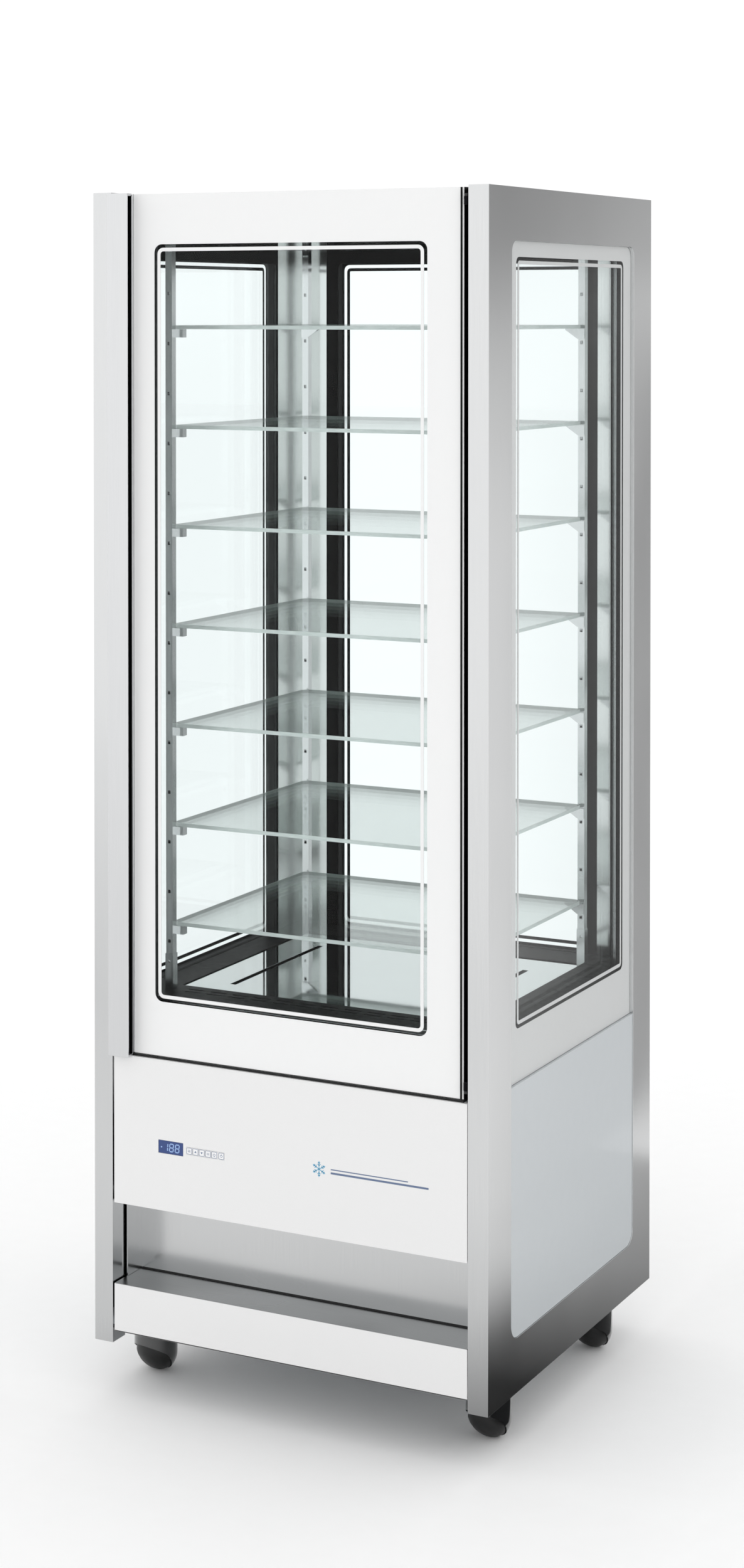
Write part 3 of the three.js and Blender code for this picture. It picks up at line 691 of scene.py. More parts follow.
DOOR_UNIT = box_of("door_glass_unit")
door_left, door_right = DOOR_UNIT[0].x, DOOR_UNIT[1].x
door_low, door_high = DOOR_UNIT[0].z, DOOR_UNIT[1].z
glazing("door", "Y", rounded(door_left, door_right, door_low, door_high, 0.01),
        (109, 580, 548, 1728.5), (104, 585, 543, 1734), (0, 5, 19, 23), white_frit, "door",
        radius=13)
print("glazed units: 4")

# %% [markdown]
# ## Inner frames and the deck
# Black plastic frames close the joint between each glass unit and the steel corner linings. The
# deck under the lowest shelf is mirror-bright sheet.

# %% Black inner frames
INNER = WALL + 0.35  # inner face of a wall
liner_front = box_of("front_left_corner_liner")
liner_rear = box_of("rear_left_corner_liner")
FRAME_DEPTH = 2.4
frame_low, frame_high = DECK_TOP + 0.3, CEILING - 0.3
for side in ("left", "right"):
    outer = rounded(liner_front[1].y + 0.2, liner_rear[0].y - 0.2, frame_low, frame_high)
    inner = rounded(CLEAR_FRONT - 2, CLEAR_REAR + 2, CLEAR_LOW - 2, CLEAR_HIGH + 2, 9)
    faces = sorted(from_side(side, x) for x in (INNER, INNER + FRAME_DEPTH))
    bead = ring("X", outer, inner, *faces)
    piece(f"{side}_inner_frame", [bead], satin_plastic, edge=0.3)
outer = rounded(84.3, WIDTH - 84.3, frame_low, frame_high)
inner = rounded(106, WIDTH - 106, CLEAR_LOW - 2, CLEAR_HIGH + 2, 9)
piece("rear_inner_frame", [ring("Y", outer, inner, DEPTH - INNER - FRAME_DEPTH, DEPTH - INNER)],
      satin_plastic, edge=0.3)

softened("deck", mirror_steel, edge=0.3)
print("inner frames: 3")

# %% [markdown]
# ## Shelves
# Seven panes of 6 mm glass with clipped corners. The two faces are clear, but the ground edge
# gathers light, so the edge band is its own solid of a paler, denser glass set round the pane.

# %% Glass shelves
SHELVES = [f"shelf_{number}" for number in range(1, 8)]
EDGE_BAND = 0.8
CLIP = 9  # how much of each corner is cut off


def clipped(u0, u1, v0, v1, cut):
    """A rectangle with its four corners cut at 45 degrees."""
    return [(u1 - cut, v1), (u0 + cut, v1), (u0, v1 - cut), (u0, v0 + cut),
            (u0 + cut, v0), (u1 - cut, v0), (u1, v0 + cut), (u1, v1 - cut)]


for shelf in SHELVES:
    low, high = box_of(shelf)
    full = clipped(low.x, high.x, low.y, high.y, CLIP)
    core = clipped(low.x + EDGE_BAND, high.x - EDGE_BAND, low.y + EDGE_BAND, high.y - EDGE_BAND,
                   CLIP - EDGE_BAND * 0.6)
    piece(shelf + "_pane", [plate("Z", core, low.z + HAIR, high.z - HAIR)], shelf_glass,
          stands_for=[shelf], edge=0)
    piece(shelf + "_edge", [ring("Z", full, core, low.z, high.z)], glass_edge, edge=0.2)
print("shelves:", len(SHELVES))

# %% [markdown]
# ## Repeats by Geometry Nodes
# Slots, louvres, screws, fins and fan blades repeat by a rule, so a node tree lays them out. One
# tree makes rows and columns of a shape, one cuts such rows out of a sheet, and one sets copies
# round an axis. The result is turned into a plain mesh, because an exported model holds no
# instances.

# %% Three trees and one way to run them


def new_tree(name, sockets):
    """A Geometry Nodes group with named inputs, and its input node."""
    tree = bpy.data.node_groups.new(name, "GeometryNodeTree")
    tree.interface.new_socket("Geometry", in_out="INPUT", socket_type="NodeSocketGeometry")
    for label, kind in sockets:
        tree.interface.new_socket(label, in_out="INPUT", socket_type="NodeSocket" + kind)
    tree.interface.new_socket("Geometry", in_out="OUTPUT", socket_type="NodeSocketGeometry")
    return tree, add_node(tree, "NodeGroupInput").outputs


def close_tree(tree, geometry, material):
    """Ends a tree: real geometry instead of instances, with its material."""
    real = add_node(tree, "GeometryNodeRealizeInstances", {"Geometry": geometry})
    painted = add_node(tree, "GeometryNodeSetMaterial", {
        "Geometry": real.outputs["Geometry"], "Material": material})
    add_node(tree, "NodeGroupOutput", {"Geometry": painted.outputs["Geometry"]})


GRID_SOCKETS = [("Shape", "Object"), ("Columns", "Int"), ("Column pitch", "Vector"),
                ("Rows", "Int"), ("Row pitch", "Vector"), ("Material", "Material")]


def copies_on_grid(tree, given):
    """Nodes that set the shape on every place of a grid."""
    row = add_node(tree, "GeometryNodeMeshLine", {
        "Count": given["Columns"], "Offset": given["Column pitch"]}).outputs["Mesh"]
    column = add_node(tree, "GeometryNodeMeshLine", {
        "Count": given["Rows"], "Offset": given["Row pitch"]}).outputs["Mesh"]
    grid = add_node(tree, "GeometryNodeInstanceOnPoints", {"Points": row, "Instance": column})
    places = add_node(tree, "GeometryNodeRealizeInstances", {"Geometry": grid.outputs["Instances"]})
    shape = add_node(tree, "GeometryNodeObjectInfo", {"Object": given["Shape"]})
    return add_node(tree, "GeometryNodeInstanceOnPoints", {
        "Points": places.outputs["Geometry"], "Instance": shape.outputs["Geometry"],
    }).outputs["Instances"]


grid_tree, given = new_tree("rows_and_columns", GRID_SOCKETS)
close_tree(grid_tree, copies_on_grid(grid_tree, given), given["Material"])

cut_tree, given = new_tree("cut_rows_and_columns", GRID_SOCKETS)
tools = add_node(cut_tree, "GeometryNodeRealizeInstances", {
    "Geometry": copies_on_grid(cut_tree, given)})
cut = add_node(cut_tree, "GeometryNodeMeshBoolean", {
    "Mesh 1": given["Geometry"], "Mesh 2": tools.outputs["Geometry"]}, operation="DIFFERENCE")
close_tree(cut_tree, cut.outputs["Mesh"], given["Material"])

round_tree, given = new_tree("round_an_axis", [
    ("Shape", "Object"), ("Count", "Int"), ("Centre", "Vector"), ("Axis", "Vector"),
    ("Material", "Material")])
points = add_node(round_tree, "GeometryNodeMeshLine", {
    "Count": given["Count"], "Start Location": given["Centre"], "Offset": (0, 0, 0)})
part = add_node(round_tree, "ShaderNodeMath", {0: math.tau, 1: given["Count"]},
                operation="DIVIDE")
number = add_node(round_tree, "GeometryNodeInputIndex").outputs["Index"]
angle = add_node(round_tree, "ShaderNodeMath", {0: part.outputs["Value"], 1: number},
                 operation="MULTIPLY")
turn = add_node(round_tree, "FunctionNodeAxisAngleToRotation", {
    "Axis": given["Axis"], "Angle": angle.outputs["Value"]})
shape = add_node(round_tree, "GeometryNodeObjectInfo", {"Object": given["Shape"]})
copies = add_node(round_tree, "GeometryNodeInstanceOnPoints", {
    "Points": points.outputs["Mesh"], "Instance": shape.outputs["Geometry"],
    "Rotation": turn.outputs["Rotation"]})
close_tree(round_tree, copies.outputs["Instances"], given["Material"])


def plain_mesh(name, made, tools):
    """The mesh that an object's modifiers give. The object and its tools are removed."""
    ready = made.evaluated_get(bpy.context.evaluated_depsgraph_get())
    mesh = bpy.data.meshes.new_from_object(ready)
    for each in (made, *tools):
        bpy.data.objects.remove(each)
    mesh.name = name
    mesh.materials.clear()
    return mesh


def grown(name, tree, shapes, material, body="cabinet", slot=None, base=(), stands_for=(),
          edge=0.0, local=False, **values):
    """Runs a tree on base shapes, with shapes as its repeated part, and keeps the plain mesh."""
    part = shown(name + "_part", mesh_of(name + "_part", shapes, local))
    host = shown(name + "_host", base if isinstance(base, bpy.types.Mesh)
                 else mesh_of(name + "_host", base))
    modifier = host.modifiers.new("repeat", "NODES")
    modifier.node_group = tree
    values.update({"Shape": part, "Material": material})
    for item in tree.interface.items_tree:
        if item.in_out == "INPUT" and item.name in values:
            modifier[item.identifier] = values[item.name]
    mesh = plain_mesh(name, host, [part])
    turned_out(mesh)
    return finished(shown(name, mesh), material, body, stands_for, edge)


def grid(columns, column_pitch, rows, row_pitch):
    """A grid's inputs: numbers of columns and rows, and their steps in millimetres."""
    return {"Columns": columns, "Column pitch": [value * MM for value in column_pitch],
            "Rows": rows, "Row pitch": [value * MM for value in row_pitch]}


NO_STEP = (0, 0, 0)
print("trees:", grid_tree.name, cut_tree.name, round_tree.name)

# %% [markdown]
# ## Slotted uprights
# The shelf brackets hang on square tubes with a rectangular slot every half shelf pitch. The tube
# in the frame has its brackets but no slots, so slots are cut through a copy of it from the face
# that looks at the door.

# %% Slots and screws of the uprights
SHELF_PITCH = box_of("shelf_2")[1].z - box_of("shelf_1")[1].z
SLOT = {"width": 4.5, "height": 5.5, "deep": 3.0}
SLOTS_PER_TUBE = 15
TUBE = {"beside_shelf": 2, "middle": 7, "half": 6.5}  # where a square tube stands
first_slot = box_of("shelf_1")[1].z + SHELF_PITCH * 0.3 - SHELF_PITCH / 2


def screw_head(x, y, z, toward, radius=3.2):
    """A domed screw head with a hexagon socket, facing a direction."""
    profile = [(0, 0), (radius, 0), (radius, radius * 0.25), (radius * 0.8, radius * 0.5),
               (radius * 0.45, radius * 0.62), (radius * 0.45, radius * 0.3), (0, radius * 0.3)]
    return placed(turned(profile, 12), (x, y, z), toward)


half_slot = SLOT["width"] / 2
for corner in CORNERS:
    row, side = corner.split("_")
    low, high = box_of(corner + "_upright")
    tube_x = from_side(side, box_of("shelf_1")[0].x + TUBE["beside_shelf"])
    tube_y = low.y + TUBE["middle"] if row == "front" else high.y - TUBE["middle"]
    front = tube_y - TUBE["half"]
    slot_shape = block(tube_x - half_slot, tube_x + half_slot, front - 1, front + SLOT["deep"],
                       first_slot, first_slot + SLOT["height"])
    grown(corner + "_slotted_upright", cut_tree, [slot_shape], brushed_steel,
          base=copied(corner + "_upright"), stands_for=[corner + "_upright"],
          edge=0.15, **grid(1, NO_STEP, SLOTS_PER_TUBE, (0, 0, SHELF_PITCH / 2)))
    screws = [screw_head(tube_x + dx, front - 0.2, z, (0, -1, 0), 2.0)
              for dx, z in ((0, DECK_TOP + 48), (-2.8, CEILING - 12), (2.8, CEILING - 12))]
    piece(corner + "_upright_screws", screws, plated, edge=0)
print("slotted uprights: 4, slots each:", SLOTS_PER_TUBE)

# %% [markdown]
# ## Control panel, keys and display
# The panel is one white sheet with a window for the display and a hole for each key. A sheet with
# rectangular holes is a grid of cells: closed cells get faces, and the rim of each open cell gets
# walls.

# %% Control panel sheet


def grid_sheet(axis, us, vs, is_open, low, high):
    """A sheet cut along the lines us and vs, without the cells for which is_open(u, v) is true."""
    points = [stood(axis, u, v, w) for w in (low, high) for v in vs for u in us]
    columns, rows = len(us), len(vs)
    side = columns * rows

    def solid(i, j):
        inside = 0 <= i < columns - 1 and 0 <= j < rows - 1
        return inside and not is_open((us[i] + us[i + 1]) / 2, (vs[j] + vs[j + 1]) / 2)

    faces = []
    for j in range(rows - 1):
        for i in range(columns - 1):
            if not solid(i, j):
                continue
            a = j * columns + i
            b, c, d = a + 1, a + columns + 1, a + columns
            faces += [(a, b, c, d), (a + side, b + side, c + side, d + side)]
            for p, q, beside in ((a, b, (i, j - 1)), (b, c, (i + 1, j)),
                                 (c, d, (i, j + 1)), (d, a, (i - 1, j))):
                if not solid(*beside):
                    faces.append((p, q, q + side, p + side))
    used = sorted({index for face in faces for index in face})
    places = {index: place for place, index in enumerate(used)}
    return [points[i] for i in used], [tuple(places[i] for i in face) for face in faces]


KEYS = ["set", "up", "down", "defrost", "lamp", "standby"]
panel_low, panel_high = box_of("control_panel")
holes = [box_of("display")] + [box_of(key + "_key") for key in KEYS]
SLACK = 0.3  # gap round the display and each key
SHEET = 2  # thickness of the panel's sheet
rims = [(low.x - SLACK, high.x + SLACK, low.z - SLACK, high.z + SLACK) for low, high in holes]
lines_x = sorted({panel_low.x, panel_high.x, *[u for rim in rims for u in rim[:2]]})
lines_z = sorted({panel_low.z, panel_high.z - SHEET, *[v for rim in rims for v in rim[2:]]})


def in_hole(x, z):
    """Whether a place on the panel is inside a hole."""
    return any(u0 < x < u1 and v0 < z < v1 for u0, u1, v0, v1 in rims)


front_sheet = grid_sheet("Y", lines_x, lines_z, in_hole, 0, SHEET)
flange = block(panel_low.x, panel_high.x, 0, panel_high.y, panel_high.z - SHEET, panel_high.z)
piece("control_panel_sheet", [front_sheet, flange], white_coat,
      stands_for=["control_panel"], edge=0.4)
print("panel holes:", len(holes))

# %% [markdown]
# ## Display
# Behind a tinted lens, seven bars make each figure. Every bar is a thin plate with pointed ends,
# so one table that says which bars are lit gives any figure.

# %% Display and its figures
display_low, display_high = box_of("display")
softened("display", navy_lens, edge=0.6)
FIGURE = {"width": 6.6, "height": 12.0, "stroke": 1.5, "gap": 2.2, "lean": 0.08, "thick": 0.12}
SEGMENTS = {"1": "bc", "8": "abcdefg"}


def figure(digit, left, low, face):
    """A seven-segment figure: bars a to g with pointed ends, leaning a little to the right."""
    w, h, s = FIGURE["width"], FIGURE["height"], FIGURE["stroke"]
    ends = {"a": (0, h, w, h), "b": (w, h, w, h / 2), "c": (w, h / 2, w, 0), "d": (0, 0, w, 0),
            "e": (0, h / 2, 0, 0), "f": (0, h, 0, h / 2), "g": (0, h / 2, w, h / 2)}
    bars = []
    for name in SEGMENTS[digit]:
        u0, v0, u1, v1 = ends[name]
        along = Vector((u1 - u0, v1 - v0)).normalized()
        side = Vector((-along.y, along.x)) * s / 2
        start, stop = Vector((u0, v0)) + along * 0.25, Vector((u1, v1)) - along * 0.25
        inset = along * s / 2
        outline = [start, start + inset + side, stop - inset + side,
                   stop, stop - inset - side, start + inset - side]
        leaning = [(left + p.x + FIGURE["lean"] * p.y, low + p.y) for p in outline]
        bars.append(plate("Y", leaning, face - FIGURE["thick"], face - 0.02))
    return bars


figure_low = display_low.z + (display_high.z - display_low.z - FIGURE["height"]) / 2
step = FIGURE["width"] + FIGURE["gap"] + FIGURE["stroke"]
bars = []
for place, digit in enumerate("188"):
    bars += figure(digit, display_low.x + 9.5 + place * step, figure_low, display_low.y)
dot = placed(turned([(0, 0), (1.1, 0), (1.1, 0.1), (0, 0.1)], 20),
             (display_low.x + 5.5, display_low.y - 0.02, figure_low + 5.5), (0, -1, 0))
piece("display_figures", [*bars, dot], figures, edge=0)
print("figure bars:", len(bars))

# %% [markdown]
# ## Keys
# Six keys lie under a printed film. Each shows a thin outline and a sign. The ink is screen
# printed, so it is a very thin plate on the key's face, and it moves when the key is pressed.

# %% Keys with a printed outline and a plain sign
SIGN = 0.08  # thickness of printed ink


def sign_shapes(key, x, z, face):
    """The ink of a key: an outline, and a sign of the kind that such keys carry."""
    front, back = face - SIGN, face - 0.01
    shapes = [ring("Y", rounded(x - 4.7, x + 4.7, z - 5.0, z + 5.0, 1.0),
                   rounded(x - 4.1, x + 4.1, z - 4.4, z + 4.4, 0.7), front, back)]
    arrow = {"up": 1, "down": -1}
    if key in arrow:
        tip = arrow[key] * 1.8
        shapes.append(plate("Y", [(x - 2, z - tip * 0.7), (x + 2, z - tip * 0.7), (x, z + tip)],
                            front, back))
    elif key == "set":
        shapes += [plate("Y", rounded(x - 2.2, x + 2.2, z + dz - 0.3, z + dz + 0.3, 0.2),
                         front, back) for dz in (-1.4, 0, 1.4)]
    elif key == "defrost":
        shapes += [plate("Y", rounded(x + dx - 0.3, x + dx + 0.3, z - 1.8, z + 1.8, 0.2),
                         front, back) for dx in (-1.6, 0, 1.6)]
    else:
        shapes.append(ring("Y", disc(x, z, 2.1, 24), disc(x, z, 1.5, 24), front, back))
        bar = (z + 0.6, z + 2.9) if key == "standby" else (z - 3.0, z - 2.2)
        shapes.append(plate("Y", rounded(x - 0.3, x + 0.3, *bar, 0.15), front - 0.02, back))
    return shapes


for key in KEYS:
    softened(key + "_key", overlay, edge=0.25)
    low, high = box_of(key + "_key")
    piece(key + "_key_print", sign_shapes(key, (low.x + high.x) / 2, (low.z + high.z) / 2, low.y),
          ink_grey, body=key + "_key", edge=0)
print("keys:", len(KEYS))

# %% [markdown]
# ## Mark
# The panel carries a plain mark, an ice crystal with two pinstripes, in the same thin ink. The
# crystal is one arm with its branches, set six times round a middle.

# %% A plain mark: an ice crystal and two pinstripes
MARK = {"x": 401, "z": 327, "radius": 12, "thick": 0.1, "half_line": 0.55}
BRANCHES = ((0.45, 0.28), (0.72, 0.2))  # how far out a pair starts, and its length, of the radius


def crystal(x, z, radius, front, back):
    """Six arms, each with two pairs of side branches."""
    middle, lines = Vector((x, z)), []
    for turn in [math.tau * number / 6 for number in range(6)]:
        out = Vector((math.sin(turn), math.cos(turn)))
        across = Vector((out.y, -out.x)) * 1.2
        lines.append((middle, out, radius))
        for reach, length in BRANCHES:
            lines += [(middle + out * radius * reach, way.normalized(), radius * length)
                      for way in (out + across, out - across)]
    arms = []
    for start, way, length in lines:
        stop, side = start + way * length, Vector((-way.y, way.x)) * MARK["half_line"]
        outline = [start + side, start - side, stop - side, stop + side]
        arms.append(plate("Y", outline, front, back))
    return arms


ink_front, ink_back = -MARK["thick"], -0.01
piece("mark_crystal", crystal(MARK["x"], MARK["z"], MARK["radius"], ink_front, ink_back),
      ink_blue, edge=0)
stripes = [plate("Y", rounded(MARK["x"] + 20, MARK["x"] + right, MARK["z"] + dz,
                              MARK["z"] + dz + high, 0.4), ink_front, ink_back)
           for dz, high, right in ((-5.0, 3.0, 184), (1.2, 1.6, 150))]
piece("mark_pinstripes", stripes, ink_grey, edge=0)
print("mark at", MARK["x"], MARK["z"])

# %% [markdown]
# ## Plinth
# The plinth's front is coated white like the panel above it, and its top is bare brushed steel,
# darker than the walls: painted shade of the recess above it. The frame has it as one solid, so it
# is made here as two sheets and a lower fold. A seal with a slanted top closes the foot of the
# recess above it.

# %% Plinth sheets
low, high = box_of("plinth")
plinth_front = [block(low.x, high.x, 0, 2, low.z, high.z - 0.6),
                block(low.x, high.x, 0, 20, low.z, low.z + 2)]
piece("plinth_front_sheet", plinth_front, white_coat, stands_for=["plinth"],
      edge=0.4)
# the top sheet's dark steel is painted shade of the recess above it
piece("plinth_top_sheet", [block(low.x, high.x, 0.4, high.y, high.z - 2, high.z)], painted_shade_steel,
      edge=0.4)
foot_seal = plate("X", [(75.2, high.z + 0.1), (76.9, high.z + 0.1), (76.9, high.z + 2.2),
                        (76.0, high.z + 2.2)], low.x + 3, high.x - 3)
piece("recess_foot_seal", [foot_seal], rubber, edge=0.2)
print("plinth sheets: 2, foot seal: 1")

# %% [markdown]
# ## Door fittings
# The full-height handle has a groove, and a black plate laid in it is painted shade of the groove.
# Black rubber blocks fill the gap at the hinge side and the gap under the door, over the panel's
# flange: painted shade of the two gaps. A thin black trim covers the door's edge. All are
# extrusions, so each is an outline given a length.

# %% Painted shade in the handle's groove and the door's gaps, and edge trim
handle_low, handle_high = box_of("door_handle")
groove = {"left": handle_low.x + 14, "front": handle_low.y + 2.2, "cap": 4, "sheet": 0.9}
u0, u1 = groove["left"] + 0.1, handle_high.x - 0.4
v0, v1 = groove["front"] + 0.1, -0.7
# a black plate in the handle's groove: painted shade of the groove
groove_shade_profile = [(u1, v0), (u1, v0 + groove["sheet"]), (u0 + groove["sheet"], v0 + groove["sheet"]),
                (u0 + groove["sheet"], v1 - groove["sheet"]), (u1, v1 - groove["sheet"]), (u1, v1),
                (u0, v1), (u0, v0)]
groove_shade = plate("Z", groove_shade_profile, handle_low.z + groove["cap"] + 0.3,
               handle_high.z - groove["cap"] - 0.3)
piece("handle_grip_lining", [groove_shade], satin_plastic, body="door",
      edge=0.2)
# A black rubber block fills the gap between the door's edge and the right post: painted shade of
# the gap.
hinge_gap_shade = block(641.5, 648.6, 27, 35.9, panel_high.z + 0.5, HEIGHT - 4)
# a black rubber strip over the panel's flange under the door: painted shade of the gap
under_door_shade = block(panel_low.x + 1, panel_high.x - 8, 4, 33, panel_high.z + 0.05,
                   panel_high.z + 3.4)
piece("hinge_side_seal", [hinge_gap_shade], rubber, edge=0.6)
piece("lower_stop_seal", [under_door_shade], rubber, edge=0.4)
trim = plate("Y", rounded(door_right - 3.2, door_right - 0.2, door_low + 0.5, door_high - 0.5, 0.3),
             -0.95, -0.05)
piece("door_edge_trim", [trim], satin_plastic, body="door", edge=0.1)
print("door fittings: 4")

# %% [markdown]
# ## Lamps
# A strip of light-emitting diodes stands in each front corner behind an opal cover, which is why
# the corners look lighter than the middle.

# %% Corner lamp strips
for side in ("left", "right"):
    base_low, base_high = DECK_TOP + 4, CEILING - 4
    x0, x1 = sorted(from_side(side, x) for x in (44, 58))
    channel = block(x0, x1, 39.2, 43.5, base_low, base_high)
    piece(f"{side}_lamp_channel", [channel], satin_aluminium, edge=0.4)
    cover = plate("Z", rounded(x0 + 1, x1 - 1, 43.6, 48.5, 0.4, 4), base_low + 3, base_high - 3)
    piece(f"{side}_lamp_cover", [cover], opal, edge=0.2)
print("lamp strips: 2")

# %% [markdown]
# ## Castors
# Each castor is a hood like half a bell, which swivels on a stem, and a domed wheel that looks
# out from under it. The hood is a dome and a drum joined together, and the wheel's mouth is cut
# out along the slanted axle, so booleans on smooth turned parts make it as the moulder's tool does.

# %% Hoods and wheels
HOOD = {"ball": 35.0, "mouth": 34.4, "collar": 12.0, "stem": 5.5}


def joined(name, first, operations):
    """Shapes joined to or cut from the first shape, as one mesh."""
    made = shown(name, mesh_of(name, [first]))
    tools = []
    for number, (kind, shape) in enumerate(operations):
        tool = shown(f"{name}_tool_{number}", mesh_of(f"{name}_tool", [shape]))
        step = made.modifiers.new("step", "BOOLEAN")
        step.operation, step.object, step.solver = kind, tool, "EXACT"
        tools.append(tool)
    return plain_mesh(name, made, tools)


def ball_profile(radius, steps=20):
    """A half circle from pole to pole."""
    angles = [math.pi * i / steps - math.pi / 2 for i in range(steps + 1)]
    return [(0 if i in (0, steps) else radius * math.cos(a), radius * math.sin(a))
            for i, a in enumerate(angles)]


JOINTS = {joint["name"]: joint for joint in frame["joints"]}


def joint_at(name):
    """A joint's place in cabinet millimetres."""
    return (Vector(JOINTS[name]["pos_m"]) - CORNER) / MM


WHEEL = {"radius": 33.4, "bulge": 24.0, "shoulder": 1.2, "rows": 14, "grooves": (3, 7)}
quarter = [math.pi / 2 * i / WHEEL["rows"] for i in range(1, WHEEL["rows"])]
dome = [(WHEEL["radius"] * math.cos(a) - (0.5 if i in WHEEL["grooves"] else 0),
         WHEEL["shoulder"] + WHEEL["bulge"] * math.sin(a)) for i, a in enumerate(quarter)]
wheel_profile = [(0, -12), (3.2, -12), (4.0, -11.2), (4.0, 0), (31.9, 0), (WHEEL["radius"], 0.6),
                 (WHEEL["radius"], WHEEL["shoulder"]), *dome, (0, 25.2)]
drum_top = -3.0
for corner in CORNERS:
    axis = Vector(JOINTS[corner + "_wheel_spin"]["axis"])
    hub, stem = joint_at(corner + "_wheel_spin"), joint_at(corner + "_swivel")
    hood_low, hood_high = box_of(corner + "_castor_hood")
    drum = placed(turned([(0, 0), (HOOD["ball"], 0), (HOOD["ball"], drum_top - hub.z - 2),
                          (HOOD["ball"] - 2, drum_top - hub.z), (0, drum_top - hub.z)], 64), hub)
    steps = [
        ("UNION", drum),
        ("UNION", rod((stem.x, stem.y, drum_top + 2.5), HOOD["collar"], 9, chamfer=1)),
        ("DIFFERENCE", rod(hub + axis * (30 - 0.6), HOOD["mouth"], 60, axis, 64)),
        ("DIFFERENCE", rod(hub - axis * 6, 4.3, 14, axis, 32)),
        ("DIFFERENCE", block(hub.x - 50, hub.x + 50, hub.y - 50, hub.y + 50, FLOOR - 20,
                             hood_low.z)),
    ]
    mesh = joined(corner + "_hood", placed(turned(ball_profile(HOOD["ball"]), 64), hub), steps)
    finished(shown(corner + "_hood", mesh), gloss_plastic, corner + "_castor",
             [corner + "_castor_hood"], 0.5)
    piece(corner + "_castor_stem",
          [rod((stem.x, stem.y, hood_high.z - 6), HOOD["stem"], 12, chamfer=0.8)], plated,
          body=corner + "_castor", edge=0)
    piece(corner + "_domed_wheel", [placed(turned(wheel_profile, 64), hub, axis)],
          tread, body=corner + "_castor_wheel",
          stands_for=[corner + "_castor_wheel"], edge=0.3)
print("castors: 4")

# %% [markdown]
# ## Deck border
# A black border surrounds the bright deck. Cold air rises through two rows of slots behind the
# door, which are cut out of the border by the same tree that cuts the uprights.

# %% Border with air slots
outside = rounded(29.6, WIDTH - 29.6, 40, DEPTH - 30)
mirror_area = rounded(82, WIDTH - 82, 131, DEPTH - 100, 2)
AIR_SLOTS = {"columns": 12, "pitch": 40.0, "length": 30.0, "width": 3.6}
slots_left = (WIDTH - AIR_SLOTS["pitch"] * (AIR_SLOTS["columns"] - 1) - AIR_SLOTS["length"]) / 2
slot_shape = block(slots_left, slots_left + AIR_SLOTS["length"], 96, 96 + AIR_SLOTS["width"],
                   DECK_TOP - 3, DECK_TOP + 5)
border = mesh_of("deck_border", [ring("Z", outside, mirror_area, DECK_TOP + 0.2, DECK_TOP + 1.6)])
grown("deck_border", cut_tree, [slot_shape], satin_plastic, base=border, edge=0.2,
      **grid(AIR_SLOTS["columns"], (AIR_SLOTS["pitch"], 0, 0), 2, (0, 14, 0)))
threshold = [(y, DECK_TOP + rise) for y, rise in
             ((37, 0.1), (46, 0.1), (46, 2.6), (39.5, 2.6), (39.5, 7), (37, 7))]
piece("front_threshold", [plate("X", threshold, 88, WIDTH - 88)], satin_aluminium, edge=0.4)
print("air slots:", 2 * AIR_SLOTS["columns"])

# %% [markdown]
# ## Machine compartment
# A hermetic compressor, a finned condenser with its fan and a melt-water tray stand on the base
# pan, and the evaporator with its fan lies in the insulated floor. Fins, tubes, return bends, fan
# blades and motor arms repeat, so the grid tree and the round tree lay them out.

# %% Compressor
low, high = box_of("compressor")
can_x, can_y, can_z = low.x + 85, (low.y + high.y) / 2, low.z + 8
CAN_RADIUS = 74
arc = [math.radians(a) for a in range(0, 81, 10)]
can = [(0, 0), (52, 0), (62, 3), (70, 12), (73, 26), (CAN_RADIUS, 50), (CAN_RADIUS, 84),
       (CAN_RADIUS - 0.01, 85), (CAN_RADIUS - 0.01, 90), (CAN_RADIUS, 91),
       *[(CAN_RADIUS * math.cos(a), 112 + 58 * math.sin(a)) for a in arc], (0, 170)]
shell = placed(turned(can, 64), (can_x, can_y, can_z))
seam = ring("Z", disc(can_x, can_y, CAN_RADIUS, 64), disc(can_x, can_y, CAN_RADIUS - 2, 64),
            can_z + 84, can_z + 91)
cover = plate("Z", rounded(can_x + 60, high.x, can_y - 22, can_y + 22, 4), can_z + 60, can_z + 105)
piece("compressor_can", [shell, seam], black_enamel,
      stands_for=["compressor"], edge=0.6)
piece("terminal_cover", [cover], satin_plastic, edge=1.0)
foot = plate("Z", rounded(low.x, low.x + 170, can_y - 70, can_y + 70, 16), can_z - 2.5, can_z - 0.1)
piece("compressor_foot_plate", [foot], black_enamel, edge=0.5)
bush = turned([(0, -8), (11, -8), (12, -7), (12, -3.5), (7, -3), (7, 0.2), (9, 0.6), (9, 2.6),
               (8, 3.4), (3, 3.4), (0, 3.4)], 24)
grown("compressor_bushes", grid_tree, [placed(bush, (low.x + 16, can_y - 54, can_z))], rubber,
      slot="black_rubber", **grid(2, (138, 0, 0), 2, (0, 108, 0)))
print("compressor at", round(can_x), round(can_y))

# %% [markdown]
# ## Coils
# A coil is a stack of thin aluminium fins on copper tubes, which turn back at each end in a bend.
# Fins, tubes and bends each repeat on a grid, so one function makes both coils from their boxes.

# %% Condenser and evaporator coils


